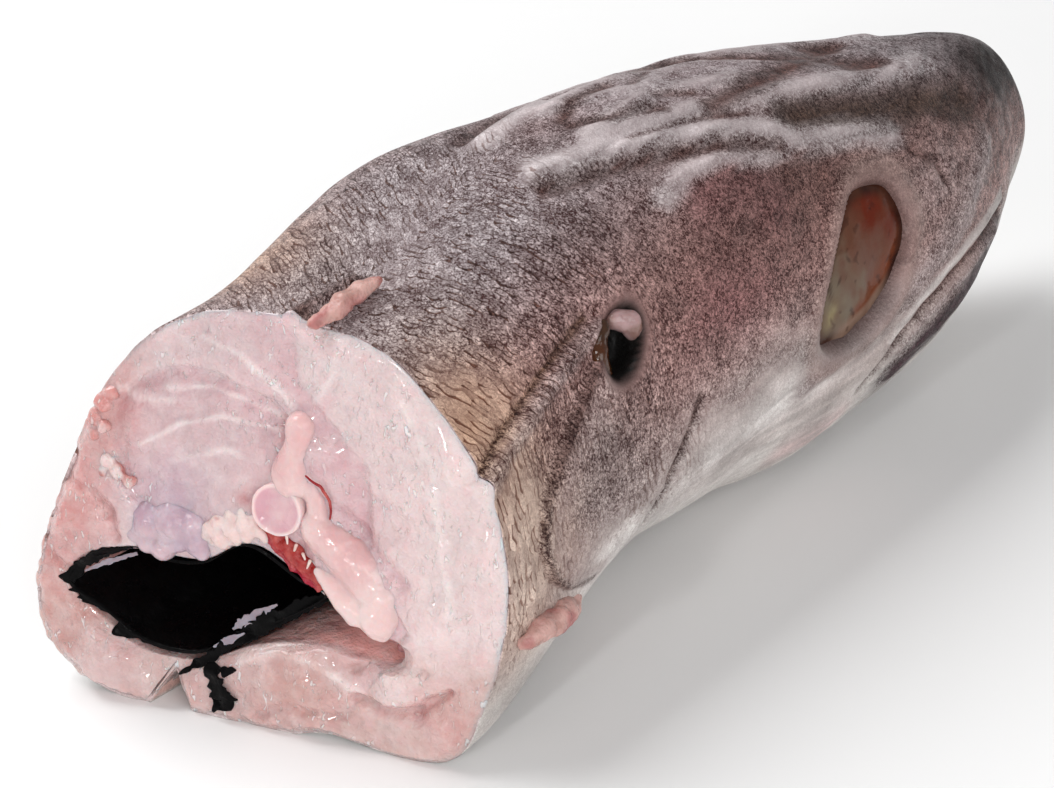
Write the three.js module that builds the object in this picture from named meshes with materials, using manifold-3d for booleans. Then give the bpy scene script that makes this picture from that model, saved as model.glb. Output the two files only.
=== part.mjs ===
// The head end of a hake, cut off slantwise behind the shoulder, gutted and resting on its belly.
// Millimetres, +Z up, +Y towards the snout, +X on the fish's right side.
// A place on the skin is given by s, the distance back from the snout, and by an angle round the body
// in degrees: 0 right flank, 90 back, 180 left flank, 270 belly.

import * as THREE from 'three';
import Module from 'manifold-3d';
import { mergeVertices } from 'three/addons/utils/BufferGeometryUtils.js';

const wasm = await Module();
wasm.setup();

// Profile of the body at stations along the fish
const STATIONS = [0, 10, 28, 60, 98, 140, 185, 230, 290];
const BACK_HEIGHT = [51, 65, 72.5, 81.5, 94, 100, 96, 90, 88];
const BELLY_HEIGHT = [32, 25, 13.5, 5.5, 0.5, -0.5, 6, -2.4, -2.4];
const HALF_WIDTH = [12, 12.5, 22, 35, 38.5, 44, 47.5, 49.5, 53];
const SNOUT_ROUNDING = 11;
const SNOUT_LEVEL = 0.55;

// What changes along the fish, from its value on the head to its value at the rear, between two distances:
// the level of the widest place, how full the section is, and how far the body leans to the right
const WIDEST_LEVEL = { head: 0.47, rear: 0.34, from: 30, to: 210 };
const UPPER_FULLNESS = { head: 2.25, rear: 1.9, from: 40, to: 160 };
const LOWER_FULLNESS = { head: 2.3, rear: 1.55, from: 100, to: 135 };
const BELLY_FILLING = { head: 0, rear: 1.1, from: 160, to: 220 };
const LEAN = { head: 0, rear: 0.105, from: 170, to: 225 };

// The slanted cut: its place at the back, and how it runs with height and across the body
const CUT_AT_BACK = 222;
const CUT_BACK_LEVEL = 95;
const CUT_PER_HEIGHT = 0.25;
const CUT_PER_SIDE = 0.4;
const CUT_BULGE = 1;
const CUT_MIDDLE = { x: 0, z: 52 };

// Half the length and the sideways shift that put the origin under the middle of the part
const HALF_LENGTH = 130.7;
const SIDE_SHIFT = -1.7;

// How finely the skin is divided
const COLUMNS = 56;
const SKIN_ROWS = 58;
const FACE_ROWS = 2;
const ROW_CROWDING = 1.25;

// Soft swellings and hollows that grow towards the cut: angle, spread in degrees, height, and between
// which distances they grow
const SWELLING_AXIS_LEVEL = 45;
const NEAR_CUT = { from: 165, to: 225 };
const SWELLINGS = [
  { angle: 318, spread: 16, height: 5.3, ...NEAR_CUT },
  { angle: 285, spread: 13, height: -4, ...NEAR_CUT },
  { angle: 50, spread: 24, height: -4.7, ...NEAR_CUT },
  { angle: 90, spread: 26, height: -3, ...NEAR_CUT },
  { angle: 128, spread: 24, height: 8, from: 120, to: 180 },
];

// Ridges and grooves of the head, as lines of [s, angle] on the right side, each also on the left
const HEAD_LINES = {
  crownRidge: { line: [[146, 87], [107, 69], [85, 70], [40, 74]], spread: 4.5, height: 2.2 },
  browRidge: { line: [[155, 76], [121, 72], [94, 55], [68, 51]], spread: 4.5, height: 2.4 },
  templeRidge: { line: [[140, 56], [122, 57], [100, 53]], spread: 4.5, height: 1.5 },
  browHollow: { line: [[94, 61], [65, 63], [38, 48]], spread: 5.5, height: -1.8 },
  templeHollow: { line: [[152, 73], [128, 64], [104, 57]], spread: 3.5, height: -1.6 },
  jawBand: { line: [[36, 24], [59, 8], [85, 1], [117, -3]], spread: 5, height: 1.6 },
  mouth: { line: [[29, -9], [56, -3], [70, -5], [88, -23]], spread: 2.2, height: -2.4 },
  cheekEdge: { line: [[150, 14], [163, 2], [170, -16]], spread: 3, height: -1.2 },
  gillCoverEdge: { line: [[172, 38], [191, 32], [202, 21], [202, 7]], spread: 4, height: -2.6 },
};

// Eyes and the gill holes, sunk in the skin at a place, with half sizes along, across and into the head
const EYE = { s: 91, angle: 14, along: 17.5, across: 8.8, deep: 8, dome: 0.25, turn: 0.6 };
const GILL_HOLE = { s: 166, angle: 34.5, along: 7.5, across: 5, deep: 10, turn: 0.6 };

// Belly cavity: its outline on the cut as [x, z], its depth and how it narrows
const CAVITY_OUTLINE = [
  [-41, 23], [-37, 29.5], [-27, 34], [-13, 34.5], [-2.5, 40], [9, 35], [20, 28.5], [31, 24.5],
  [29, 20], [14, 21], [1, 18.5], [-9, 14], [-25, 13.5], [-35, 18.5],
];
const CAVITY_DEPTH = 78;
const CAVITY_COLUMNS = 32;
const CAVITY_ROWS = 7;
const CAVITY_BEHIND = 30;
const CAVITY_MIDDLE = { x: -8, z: 27 };
const CAVITY_NARROWING = 0.45;
const CAVITY_END_SHARPNESS = 4;
const LINING_THICKNESS = 0.9;
const LINING_SET_BACK = 1.5;

// Slit in the belly from the cut forward
const SLIT = { x: -17, bottom: -5, top: 17, halfBottom: 5, halfTop: 0.6, length: 62, frontShare: 0.12 };

// Backbone: body of the vertebra, the spine above it and the rib stem on the right, as [x, z]
const VERTEBRA = { x: 3, z: 49.5, radius: 5.5, length: 48, proud: 2.6, hollow: 1.1 };
const NEURAL_SPINE = { to: [5, 67], radius: 3.4, forward: 0.8 };
const RIB_STEM = { to: [27, 34.5], radius: 3.8, forward: 0.8 };
const RIB_KNOB = { at: [27.5, 29], radius: 4 };

// Soft parts under the backbone, with their half sizes across, along and up
const KIDNEY = { x: 7, z: 40.5, half: [10, 34, 2.8], turn: 0.6, forward: 20, proud: 1.2 };
const SWIM_BLADDER = { x: -20, z: 41.5, half: [8, 32, 6.5], turn: -0.1, forward: 18, proud: 2 };

// Fin stubs
const DORSAL_STUB = { s: 212, angle: 90, half: [2.6, 8, 4.5], sink: 0.5 };
const PECTORAL_STUB = { s: 202, angle: -12, half: [3.4, 8.5, 4.2], sink: 0.8 };

// Gap kept between pieces that touch
const GAP = 0.35;

const COLOURS = {
  body: 0x8d7f7a,
  eye: 0x9a5a35,
  backbone: 0xe6bcb8,
  kidney: 0x8e3038,
  swimBladder: 0xc9b3bd,
  lining: 0x0d0b0b,
  fin: 0xb98a80,
};

const radians = THREE.MathUtils.degToRad;
const { clamp, lerp, smoothstep } = THREE.MathUtils;

// Smooth curve through one value at each station
function profile(values) {
  const slopes = values.map((value, i) => {
    const before = Math.max(i - 1, 0);
    const after = Math.min(i + 1, values.length - 1);
    return (values[after] - values[before]) / (STATIONS[after] - STATIONS[before]);
  });
  return (s) => {
    const at = clamp(s, STATIONS[0], STATIONS.at(-1));
    const i = clamp(STATIONS.findLastIndex((station) => station <= at), 0, STATIONS.length - 2);
    const span = STATIONS[i + 1] - STATIONS[i];
    const t = (at - STATIONS[i]) / span;
    const ends = lerp(values[i], values[i + 1], t * t * (3 - 2 * t));
    return ends + span * t * (1 - t) * ((1 - t) * slopes[i] - t * slopes[i + 1]);
  };
}

const backAt = profile(BACK_HEIGHT);
const bellyAt = profile(BELLY_HEIGHT);
const halfWidthAt = profile(HALF_WIDTH);

// Difference of two angles in degrees, from -180 to 180
function angleBetween(a, b) {
  return ((((a - b + 180) % 360) + 360) % 360) - 180;
}

function bell(distance, spread) {
  return Math.exp(-((distance / spread) ** 2));
}

// Distance on the skin from a place to a line of [s, angle] points
function distanceToLine(line, s, angle, perDegree) {
  let nearest = Infinity;
  for (let i = 0; i + 1 < line.length; i += 1) {
    const [startS, startAngle] = line[i];
    const runS = line[i + 1][0] - startS;
    const runA = (line[i + 1][1] - startAngle) * perDegree;
    const offS = s - startS;
    const offA = angleBetween(angle, startAngle) * perDegree;
    const share = clamp((offS * runS + offA * runA) / (runS * runS + runA * runA), 0, 1);
    nearest = Math.min(nearest, Math.hypot(offS - share * runS, offA - share * runA));
  }
  return nearest;
}

function changing({ head, rear, from, to }, s) {
  return lerp(head, rear, smoothstep(s, from, to));
}

// Height of the ridges and grooves of the head above the plain body
function reliefAt(s, angle) {
  const perDegree = radians(1) * halfWidthAt(s);
  let height = 0;
  for (const { line, spread, height: size } of Object.values(HEAD_LINES)) {
    const right = distanceToLine(line, s, angle, perDegree);
    const left = distanceToLine(line, s, 180 - angle, perDegree);
    height += size * bell(Math.min(right, left), spread);
  }
  for (const { angle: at, spread, height: size, from, to } of SWELLINGS) {
    height += smoothstep(s, from, to) * size * bell(angleBetween(angle, at), spread);
  }
  return height;
}

// Section of the plain body, a rounded box whose lower half fills out towards the cut
function plainSection(s, angle) {
  const rounding = Math.sqrt(1 - (1 - clamp(s / SNOUT_ROUNDING, 0, 1)) ** 2);
  const snout = lerp(bellyAt(s), backAt(s), SNOUT_LEVEL);
  const top = lerp(snout, backAt(s), rounding);
  const bottom = lerp(snout, bellyAt(s), rounding);
  const middle = lerp(bottom, top, changing(WIDEST_LEVEL, s));
  const cos = Math.cos(radians(angle));
  const sin = Math.sin(radians(angle));
  const lower = changing(LOWER_FULLNESS, s) + changing(BELLY_FILLING, s);
  const power = 2 / (sin >= 0 ? changing(UPPER_FULLNESS, s) : lower);
  const reach = sin >= 0 ? top - middle : middle - bottom;
  const z = middle + reach * Math.sign(sin) * Math.abs(sin) ** power;
  const x = halfWidthAt(s) * rounding * Math.sign(cos) * Math.abs(cos) ** power;
  return new THREE.Vector2(x + changing(LEAN, s) * z, z);
}

// Section with its relief, flattened where it rests
function sectionAt(s, angle) {
  const point = plainSection(s, angle);
  const axis = new THREE.Vector2(0, Math.min(SWELLING_AXIS_LEVEL, lerp(bellyAt(s), backAt(s), SNOUT_LEVEL)));
  const outward = point.clone().sub(axis);
  const fade = smoothstep(s, 0, 2 * SNOUT_ROUNDING);
  point.addScaledVector(outward.normalize(), fade * reliefAt(s, angle));
  point.y = Math.max(point.y, 0);
  return point;
}

function cutDistance(x, z) {
  return CUT_AT_BACK + CUT_PER_HEIGHT * (CUT_BACK_LEVEL - z) - CUT_PER_SIDE * x;
}

// Where the skin at an angle meets the cut
function cutStation(angle) {
  let s = CUT_AT_BACK;
  for (let round = 0; round < 6; round += 1) {
    const point = sectionAt(s, angle);
    s = cutDistance(point.x, point.y);
  }
  return s;
}

function inFrame(x, s, z) {
  return new THREE.Vector3(x + SIDE_SHIFT, HALF_LENGTH - s, z);
}

function skinPoint(s, angle) {
  const point = sectionAt(s, angle);
  return inFrame(point.x, s, point.y);
}

// A closed skin: place(along, around) is called with both from 0 to 1, and closes at both ends
function wrap(columns, rows, place) {
  const shell = new THREE.SphereGeometry(1, columns, rows);
  const { position, uv } = shell.attributes;
  for (let i = 0; i < position.count; i += 1) {
    const point = place(1 - uv.getY(i), (1 - uv.getX(i)) % 1);
    position.setXYZ(i, point.x, point.y, point.z);
  }
  return shell;
}

function toSolid(geometry) {
  const bare = geometry.clone();
  bare.deleteAttribute('normal');
  bare.deleteAttribute('uv');
  const merged = mergeVertices(bare, 1e-4);
  return new wasm.Manifold(new wasm.Mesh({
    numProp: 3,
    vertProperties: Float32Array.from(merged.attributes.position.array),
    triVerts: Uint32Array.from(merged.index.array),
  }));
}

function toMesh(name, solid, colour, roughness) {
  const data = solid.getMesh();
  const geometry = new THREE.BufferGeometry();
  geometry.setAttribute('position', new THREE.BufferAttribute(data.vertProperties, 3));
  geometry.setIndex(new THREE.BufferAttribute(data.triVerts, 1));
  geometry.computeVertexNormals();
  const material = new THREE.MeshStandardMaterial({ color: colour, roughness, metalness: 0 });
  const mesh = new THREE.Mesh(geometry, material);
  mesh.name = name;
  return mesh;
}

// The body from the snout to the cut, with the cut face bulging a little
function bodyShell() {
  const rows = SKIN_ROWS + FACE_ROWS;
  const middle = inFrame(CUT_MIDDLE.x, cutDistance(CUT_MIDDLE.x, CUT_MIDDLE.z) + CUT_BULGE, CUT_MIDDLE.z);
  return wrap(COLUMNS, rows, (along, around) => {
    const row = along * rows;
    const angle = 360 * around;
    const end = cutStation(angle);
    if (row <= SKIN_ROWS) {
      return skinPoint(end * (row / SKIN_ROWS) ** ROW_CROWDING, angle);
    }
    const inwards = (row - SKIN_ROWS) / FACE_ROWS;
    const point = skinPoint(end, angle).lerp(middle, inwards);
    point.y -= CUT_BULGE * inwards * (1 - inwards);
    return point;
  });
}

// Directions on the skin at a place: along the fish, across and outwards
function skinFrame(s, angle) {
  const step = 2;
  const along = skinPoint(s - step, angle).sub(skinPoint(s + step, angle)).normalize();
  const round = skinPoint(s, angle + step).sub(skinPoint(s, angle - step)).normalize();
  const outwards = new THREE.Vector3().crossVectors(along, round).normalize();
  const across = new THREE.Vector3().crossVectors(along, outwards).normalize();
  return new THREE.Matrix4().makeBasis(across, along, outwards).setPosition(skinPoint(s, angle));
}

// An egg with half sizes [across, along, up], grown by a margin; its upper half can be flattened
function egg(half, margin, dome = 1, columns = 16, rows = 10) {
  const shape = new THREE.SphereGeometry(1, columns, rows);
  shape.scale(half[0] + margin, half[1] + margin, half[2] + margin);
  const { position } = shape.attributes;
  for (let i = 0; i < position.count; i += 1) {
    const z = position.getZ(i);
    position.setZ(i, z > 0 ? z * dome : z);
  }
  return shape;
}

// An egg sunk in the skin on one side (1 right, -1 left): an eye, its larger socket or a gill hole
function eggOnSkin({ s, angle, along, across, deep, turn }, side, margin, dome) {
  const shape = egg([across, along, deep], margin, dome);
  shape.rotateZ(side * turn);
  shape.applyMatrix4(skinFrame(s, side > 0 ? angle : 180 - angle));
  return toSolid(shape);
}

// Belly cavity drawn inwards by a margin, running out behind the cut
function cavityShape(margin) {
  const corners = CAVITY_OUTLINE.map(([x, z]) => new THREE.Vector3(x, 0, z));
  const outline = new THREE.CatmullRomCurve3(corners, true);
  const middle = new THREE.Vector3(CAVITY_MIDDLE.x, 0, CAVITY_MIDDLE.z);
  const mouth = cutDistance(middle.x, middle.z) + CAVITY_BEHIND;
  const depth = CAVITY_DEPTH + CAVITY_BEHIND - margin;
  const shape = wrap(CAVITY_COLUMNS, CAVITY_ROWS, (along, around) => {
    const rim = outline.getPoint(around);
    const inward = middle.clone().sub(rim);
    rim.addScaledVector(inward.normalize(), margin);
    const row = along * CAVITY_ROWS;
    const open = row < 1 ? 0 : (row - 1) / (CAVITY_ROWS - 1);
    const narrow = Math.sqrt(1 - open ** CAVITY_END_SHARPNESS) * (1 - CAVITY_NARROWING * open ** 2);
    const point = row < 0.5 ? middle.clone() : middle.clone().lerp(rim, narrow);
    return inFrame(point.x, mouth - depth * open, point.z);
  });
  return toSolid(shape);
}

// Everything in front of a plane set back from the cut by a distance
function frontOfCut(setBack) {
  const size = 400;
  const box = new THREE.BoxGeometry(size, size, size);
  const forward = new THREE.Vector3(-CUT_PER_SIDE, 1, -CUT_PER_HEIGHT).normalize();
  box.applyQuaternion(new THREE.Quaternion().setFromUnitVectors(new THREE.Vector3(0, 1, 0), forward));
  const face = inFrame(0, cutDistance(0, CUT_MIDDLE.z), CUT_MIDDLE.z);
  face.addScaledVector(forward, size / 2 + setBack);
  box.translate(face.x, face.y, face.z);
  return toSolid(box);
}

// Wedge that parts the belly flaps
function bellySlit() {
  const { x, bottom, top, halfBottom, halfTop, length, frontShare } = SLIT;
  const wedge = new THREE.Shape();
  wedge.moveTo(-halfBottom, bottom);
  wedge.lineTo(halfBottom, bottom);
  wedge.lineTo(halfTop, top);
  wedge.lineTo(-halfTop, top);
  const shape = new THREE.ExtrudeGeometry(wedge, { depth: length + CAVITY_BEHIND, bevelEnabled: false });
  shape.rotateX(Math.PI / 2);
  const { position } = shape.attributes;
  for (let i = 0; i < position.count; i += 1) {
    const open = clamp(-position.getY(i) / length, frontShare, 1);
    position.setX(i, position.getX(i) * open);
  }
  const front = inFrame(x, cutDistance(x, 0) - length, 0);
  shape.translate(front.x, front.y, front.z);
  return toSolid(shape);
}

// A round-ended bar between two [x, z] places on the cut, set forward of it by a distance
function barInCut(from, to, radius, margin, forward) {
  const start = inFrame(from[0], cutDistance(from[0], from[1]) - forward, from[1]);
  const end = inFrame(to[0], cutDistance(to[0], to[1]) - forward, to[1]);
  const run = end.clone().sub(start);
  const bar = new THREE.CapsuleGeometry(radius + margin, run.length(), 3, 10);
  bar.applyQuaternion(new THREE.Quaternion().setFromUnitVectors(new THREE.Vector3(0, 1, 0), run.normalize()));
  const middle = start.lerp(end, 0.5);
  bar.translate(middle.x, middle.y, middle.z);
  return toSolid(bar);
}

// Vertebra with its dished end, the spine above it and the rib stem with its knob
function backboneShape(margin) {
  const { x, z, radius, length, proud, hollow } = VERTEBRA;
  const rear = cutDistance(x, z) + proud + margin;
  const core = new THREE.CylinderGeometry(radius + margin, 0.8 * radius + margin, length + 2 * margin, 20);
  core.rotateX(Math.PI);
  const centre = inFrame(x, rear - length / 2 - margin, z);
  core.translate(centre.x, centre.y, centre.z);
  let bone = toSolid(core);
  bone = bone.add(barInCut([x, z], NEURAL_SPINE.to, NEURAL_SPINE.radius, margin, NEURAL_SPINE.forward));
  bone = bone.add(barInCut([x, z], RIB_STEM.to, RIB_STEM.radius, margin, RIB_STEM.forward));
  bone = bone.add(barInCut(RIB_STEM.to, RIB_KNOB.at, RIB_KNOB.radius, margin, RIB_STEM.forward));
  if (margin > 0) {
    return bone;
  }
  const dishRadius = 2 * radius;
  const dish = new THREE.SphereGeometry(dishRadius, 20, 12);
  const lip = inFrame(x, rear + dishRadius - hollow, z);
  dish.translate(lip.x, lip.y, lip.z);
  return bone.subtract(toSolid(dish));
}

// A soft part under the backbone, an egg that runs forward from the cut
function innerPart({ x, z, half, turn, forward, proud }, margin) {
  const shape = egg(half, margin);
  shape.rotateY(turn);
  const centre = inFrame(x, cutDistance(x, z) - forward, z);
  shape.translate(centre.x, centre.y, centre.z);
  return margin > 0 ? toSolid(shape) : toSolid(shape).intersect(frontOfCut(-proud));
}

function finStub({ s, angle, half, sink }, margin) {
  const shape = egg(half, margin, 1, 12, 8);
  shape.translate(0, 0, -sink);
  shape.applyMatrix4(skinFrame(s, angle));
  return toSolid(shape);
}

function leftOf(stub) {
  return { ...stub, angle: 180 - stub.angle };
}

// Black skin of the belly cavity, cut back from the face and clear of the parts that hang into it
function bellyLining(neighbours) {
  let lining = cavityShape(GAP).subtract(cavityShape(GAP + LINING_THICKNESS));
  lining = lining.intersect(frontOfCut(LINING_SET_BACK));
  for (const neighbour of neighbours) {
    lining = lining.subtract(neighbour);
  }
  return lining;
}

function wholeBody(hollows) {
  return hollows.reduce((solid, hollow) => solid.subtract(hollow), toSolid(bodyShell()));
}

const kidneyRoom = innerPart(KIDNEY, GAP);
const bladderRoom = innerPart(SWIM_BLADDER, GAP);
const backboneRoom = backboneShape(GAP);
const slit = bellySlit();

const body = wholeBody([
  cavityShape(0),
  slit,
  backboneRoom,
  kidneyRoom,
  bladderRoom,
  eggOnSkin(EYE, 1, GAP, 1),
  eggOnSkin(EYE, -1, GAP, 1),
  eggOnSkin(GILL_HOLE, 1, 0, 1),
  eggOnSkin(GILL_HOLE, -1, 0, 1),
  finStub(DORSAL_STUB, GAP),
  finStub(PECTORAL_STUB, GAP),
  finStub(leftOf(PECTORAL_STUB), GAP),
]);

const kidney = innerPart(KIDNEY, 0).subtract(backboneRoom);
const swimBladder = innerPart(SWIM_BLADDER, 0);
const lining = bellyLining([kidneyRoom, bladderRoom, backboneRoom, slit]);

const hake = new THREE.Group();
hake.add(toMesh('body', body, COLOURS.body, 0.5));
hake.add(toMesh('eye_right', eggOnSkin(EYE, 1, 0, EYE.dome), COLOURS.eye, 0.2));
hake.add(toMesh('eye_left', eggOnSkin(EYE, -1, 0, EYE.dome), COLOURS.eye, 0.2));
hake.add(toMesh('backbone', backboneShape(0), COLOURS.backbone, 0.35));
hake.add(toMesh('kidney', kidney, COLOURS.kidney, 0.35));
hake.add(toMesh('swim_bladder', swimBladder, COLOURS.swimBladder, 0.3));
hake.add(toMesh('belly_lining', lining, COLOURS.lining, 0.3));
hake.add(toMesh('dorsal_fin_stub', finStub(DORSAL_STUB, 0), COLOURS.fin, 0.5));
hake.add(toMesh('pectoral_stub_right', finStub(PECTORAL_STUB, 0), COLOURS.fin, 0.5));
hake.add(toMesh('pectoral_stub_left', finStub(leftOf(PECTORAL_STUB), 0), COLOURS.fin, 0.5));

export default hake;
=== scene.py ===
"""The head end of a raw hake, cut off slantwise behind the shoulder, gutted and lying on its belly.

A place on the skin is given by s, the millimetres back from the snout, and by an angle round the body in
degrees: 0 right flank, 90 back, 180 left flank, 270 belly. A place on the cut face is given by x and z in
millimetres and by how far it stands out from the plane of the cut.
"""

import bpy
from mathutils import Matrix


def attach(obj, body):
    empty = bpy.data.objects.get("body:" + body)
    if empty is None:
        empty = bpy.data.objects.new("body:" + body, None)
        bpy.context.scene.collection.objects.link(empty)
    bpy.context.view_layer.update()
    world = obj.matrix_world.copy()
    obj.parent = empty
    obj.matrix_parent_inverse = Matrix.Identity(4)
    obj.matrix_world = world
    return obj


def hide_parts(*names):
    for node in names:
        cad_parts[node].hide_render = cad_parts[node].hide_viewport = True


bl_info = {
    "name": "Hake head end",
    "version": (1, 0, 0),
    "blender": (4, 5, 0),
    "location": "3D View > Sidebar > Hake",
    "description": "Models the cut head end of a hake with its skin, flesh and insides",
    "category": "Add Mesh",
}

from math import cos, pi, radians, sin

import bmesh
import bpy
import numpy as np
from bpy.props import FloatProperty, FloatVectorProperty, PointerProperty
from mathutils import Matrix, Vector

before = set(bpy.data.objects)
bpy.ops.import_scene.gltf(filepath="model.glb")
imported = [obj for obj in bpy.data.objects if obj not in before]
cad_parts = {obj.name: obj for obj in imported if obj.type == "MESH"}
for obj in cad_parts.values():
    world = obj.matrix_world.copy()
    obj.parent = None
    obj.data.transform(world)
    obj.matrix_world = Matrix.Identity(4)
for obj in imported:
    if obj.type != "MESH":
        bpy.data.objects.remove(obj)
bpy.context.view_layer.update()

MM = 0.001

# Profile of the body at stations behind the snout
STATIONS = np.array([0, 10, 28, 60, 98, 140, 185, 230, 290], float)
BACK_HEIGHT = (51, 65, 72.5, 81.5, 94, 100, 96, 90, 88)
BELLY_HEIGHT = (32, 25, 13.5, 5.5, 0.5, -0.5, 6, -2.4, -2.4)
HALF_WIDTH = (12, 12.5, 22, 35, 38.5, 44, 47.5, 49.5, 53)
SNOUT_ROUNDING = 11
SNOUT_LEVEL = 0.55

# What changes along the fish: its value on the head, its value at the rear, and between which distances
WIDEST_LEVEL = (0.47, 0.34, 30, 210)
UPPER_FULLNESS = (2.25, 1.9, 40, 160)
LOWER_FULLNESS = (2.3, 1.55, 100, 135)
BELLY_FILLING = (0, 1.1, 160, 220)
LEAN = (0, 0.105, 170, 225)

# The slanted cut
CUT_AT_BACK = 222
CUT_BACK_LEVEL = 95
CUT_PER_HEIGHT = 0.25
CUT_PER_SIDE = 0.4
CUT_NORMAL = np.array([CUT_PER_SIDE, -1, CUT_PER_HEIGHT]) / np.linalg.norm([CUT_PER_SIDE, -1, CUT_PER_HEIGHT])

HALF_LENGTH = 130.7
SIDE_SHIFT = -1.7

# Skin: where its two pieces meet, how finely they are divided and how closely the columns crowd at the flanks
SEAM = 158
SKIN_COLUMNS = 400
HEAD_ROWS = 226
SHOULDER_ROWS = 204
FLANK_CROWDING = 0.35

# Soft swellings and hollows that grow towards the cut: angle, spread in degrees, height, from where to where
SWELLING_AXIS_LEVEL = 45
NEAR_CUT = (165, 225)
SWELLINGS = (
    (318, 16, 5.3, *NEAR_CUT), (285, 13, -4, *NEAR_CUT), (50, 24, -4.7, *NEAR_CUT), (90, 26, -3, *NEAR_CUT),
    (128, 24, 8, 120, 180),
)

# The slit between the belly flaps
SLIT_X = -17
SLIT_HALF_WIDTH = 4.4
SLIT_HEIGHT = 10
SLIT_LENGTH = 62


def tone(red, green, blue):
    """A colour given from 0 to 255 on a screen, as linear light."""
    share = np.array([red, green, blue]) / 255
    light = np.where(share <= 0.04045, share / 12.92, ((share + 0.055) / 1.055) ** 2.4)
    return tuple(float(part) for part in light)


# Tones of the skin; the ridge tone is paler skin with a painted highlight of wet sheen
SKIN_TONES = {
    "ridge": tone(196, 182, 183),
    "dark": tone(70, 44, 40),
    "olive": tone(60, 43, 37),
    "snout": tone(32, 22, 21),
    "brow": tone(76, 47, 42),
    "cheek": tone(104, 66, 66),
    "pale": tone(222, 214, 211),
    "jaw": tone(138, 121, 120),
    "purple": tone(48, 27, 32),
    "tan": tone(190, 150, 124),
    "strip": tone(220, 196, 182),
    "grey": tone(121, 107, 105),
    "silver": tone(126, 114, 115),
    "brown": tone(88, 60, 46),
    "red brown": tone(90, 60, 57),
    "pink": tone(204, 178, 176),
}

# Ridges and grooves of the head as lines of (s, angle), each on both sides:
# line, spread and height of the relief, tone, spread and share of the tone
# The ridge tone is paler skin with a painted highlight; the dark tone, only on sunken lines, is painted shade
HEAD_LINES = {
    "temple bulge": (((132, 51), (119, 50), (114, 43)), 5.0, 1.0, "cheek", 6.0, 0.6),
    "nape ridge": (((144, 101), (127, 95), (111, 84), (97, 82)), 2.6, 0.7, "ridge", 3.0, 0.35),
    "crown ridge": (((142, 81), (124, 75), (97, 71), (71, 73), (40, 74)), 2.8, 1.1, "ridge", 3.4, 0.5),
    "brow ridge": (((160, 79), (149, 75), (124, 67), (107, 60), (96, 56), (70, 50)),
                   2.8, 1.2, "ridge", 4.0, 0.85),
    "temple ridge": (((140, 55), (132, 58), (120, 58), (111, 54), (103, 53)), 2.4, 1.1, "ridge", 2.6, 0.6),
    "crown valley": (((112, 73), (102, 75), (91, 79), (73, 88), (55, 98)), 3.0, -1.0, "dark", 3.4, 0.85),
    "nape valley": (((143, 88), (136, 82), (127, 80), (123, 78)), 2.2, -0.8, "dark", 2.4, 0.8),
    "crown groove": (((120, 85), (112, 80)), 1.6, -0.5, "dark", 1.6, 0.7),
    "ridge gap": (((137, 73), (125, 71), (116, 70), (104, 67)), 1.1, -0.6, "dark", 0.9, 0.7),
    "temple valley": (((162, 74), (142, 68), (126, 63), (113, 59), (103, 54)), 2.4, -1.2, "dark", 2.6, 0.85),
    "brow hollow": (((94, 61), (81, 60), (66, 59), (52, 56), (38, 47)), 4.4, -1.2, "olive", 5.6, 0.9),
    "crown patch": (((63, 79), (51, 80)), 2.0, -0.5, "dark", 2.4, 0.8),
    "nostril": (((66, 41), (59, 34), (58, 26)), 1.5, -0.9, "dark", 1.6, 0.6),
    "jaw band": (((36, 24), (49, 14), (59, 8), (71, 4), (85, 1), (101, 0), (117, -3)),
                 3.0, 1.2, "jaw", 3.6, 0.85),
    "lower jaw": (((34, -15), (46, -17), (60, -17), (71, -21), (80, -27)), 3.4, 0.8, "purple", 6.0, 1.0),
    "throat": (((100, -33), (116, -33)), 6.0, 0.0, "pink", 6.5, 0.8),
    "mouth": (((29, -9), (44, -5), (60, -3.5), (72, -7), (81, -13), (92, -25)), 1.0, -1.8, "dark", 1.1, 0.95),
    "lip line": (((29, -2), (48, 1), (63, 1), (75, -3), (84, -10)), 0.9, 0.7, "pale", 0.9, 0.6),
    "low lip line": (((33, -11), (46, -9), (60, -8), (72, -11), (80, -17)), 0.9, 0.6, "jaw", 0.8, 0.7),
    "cheek crease": (((150, 14), (156, 8), (163, 2), (170, -16)), 1.1, -1.5, "dark", 1.0, 0.85),
    "lateral fold": (((216, 30), (206, 34), (195, 36), (184, 38), (170, 40)), 2.0, 1.5, "jaw", 2.2, 0.6),
    "lateral line": (((215, 34), (205, 38), (194, 40), (183, 42), (172, 44)), 1.0, -1.0, "brown", 0.9, 0.9),
}

# The edge of the gill cover with the step behind it, and the fold of skin beside the back fin
GILL_COVER_EDGE = (
    (169, 37), (175, 33), (184, 28), (193, 23), (200, 18), (203, 11), (201, 2), (196, -8), (187, -18),
)
GILL_COVER_STEP = 2.6
GILL_COVER_STEP_REACH = 9
DORSAL_FOLD = ((223, 101), (219, 100), (214, 98), (208, 96))
DORSAL_FOLD_SPREAD = 1.8
DORSAL_FOLD_HEIGHT = 1.6

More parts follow.
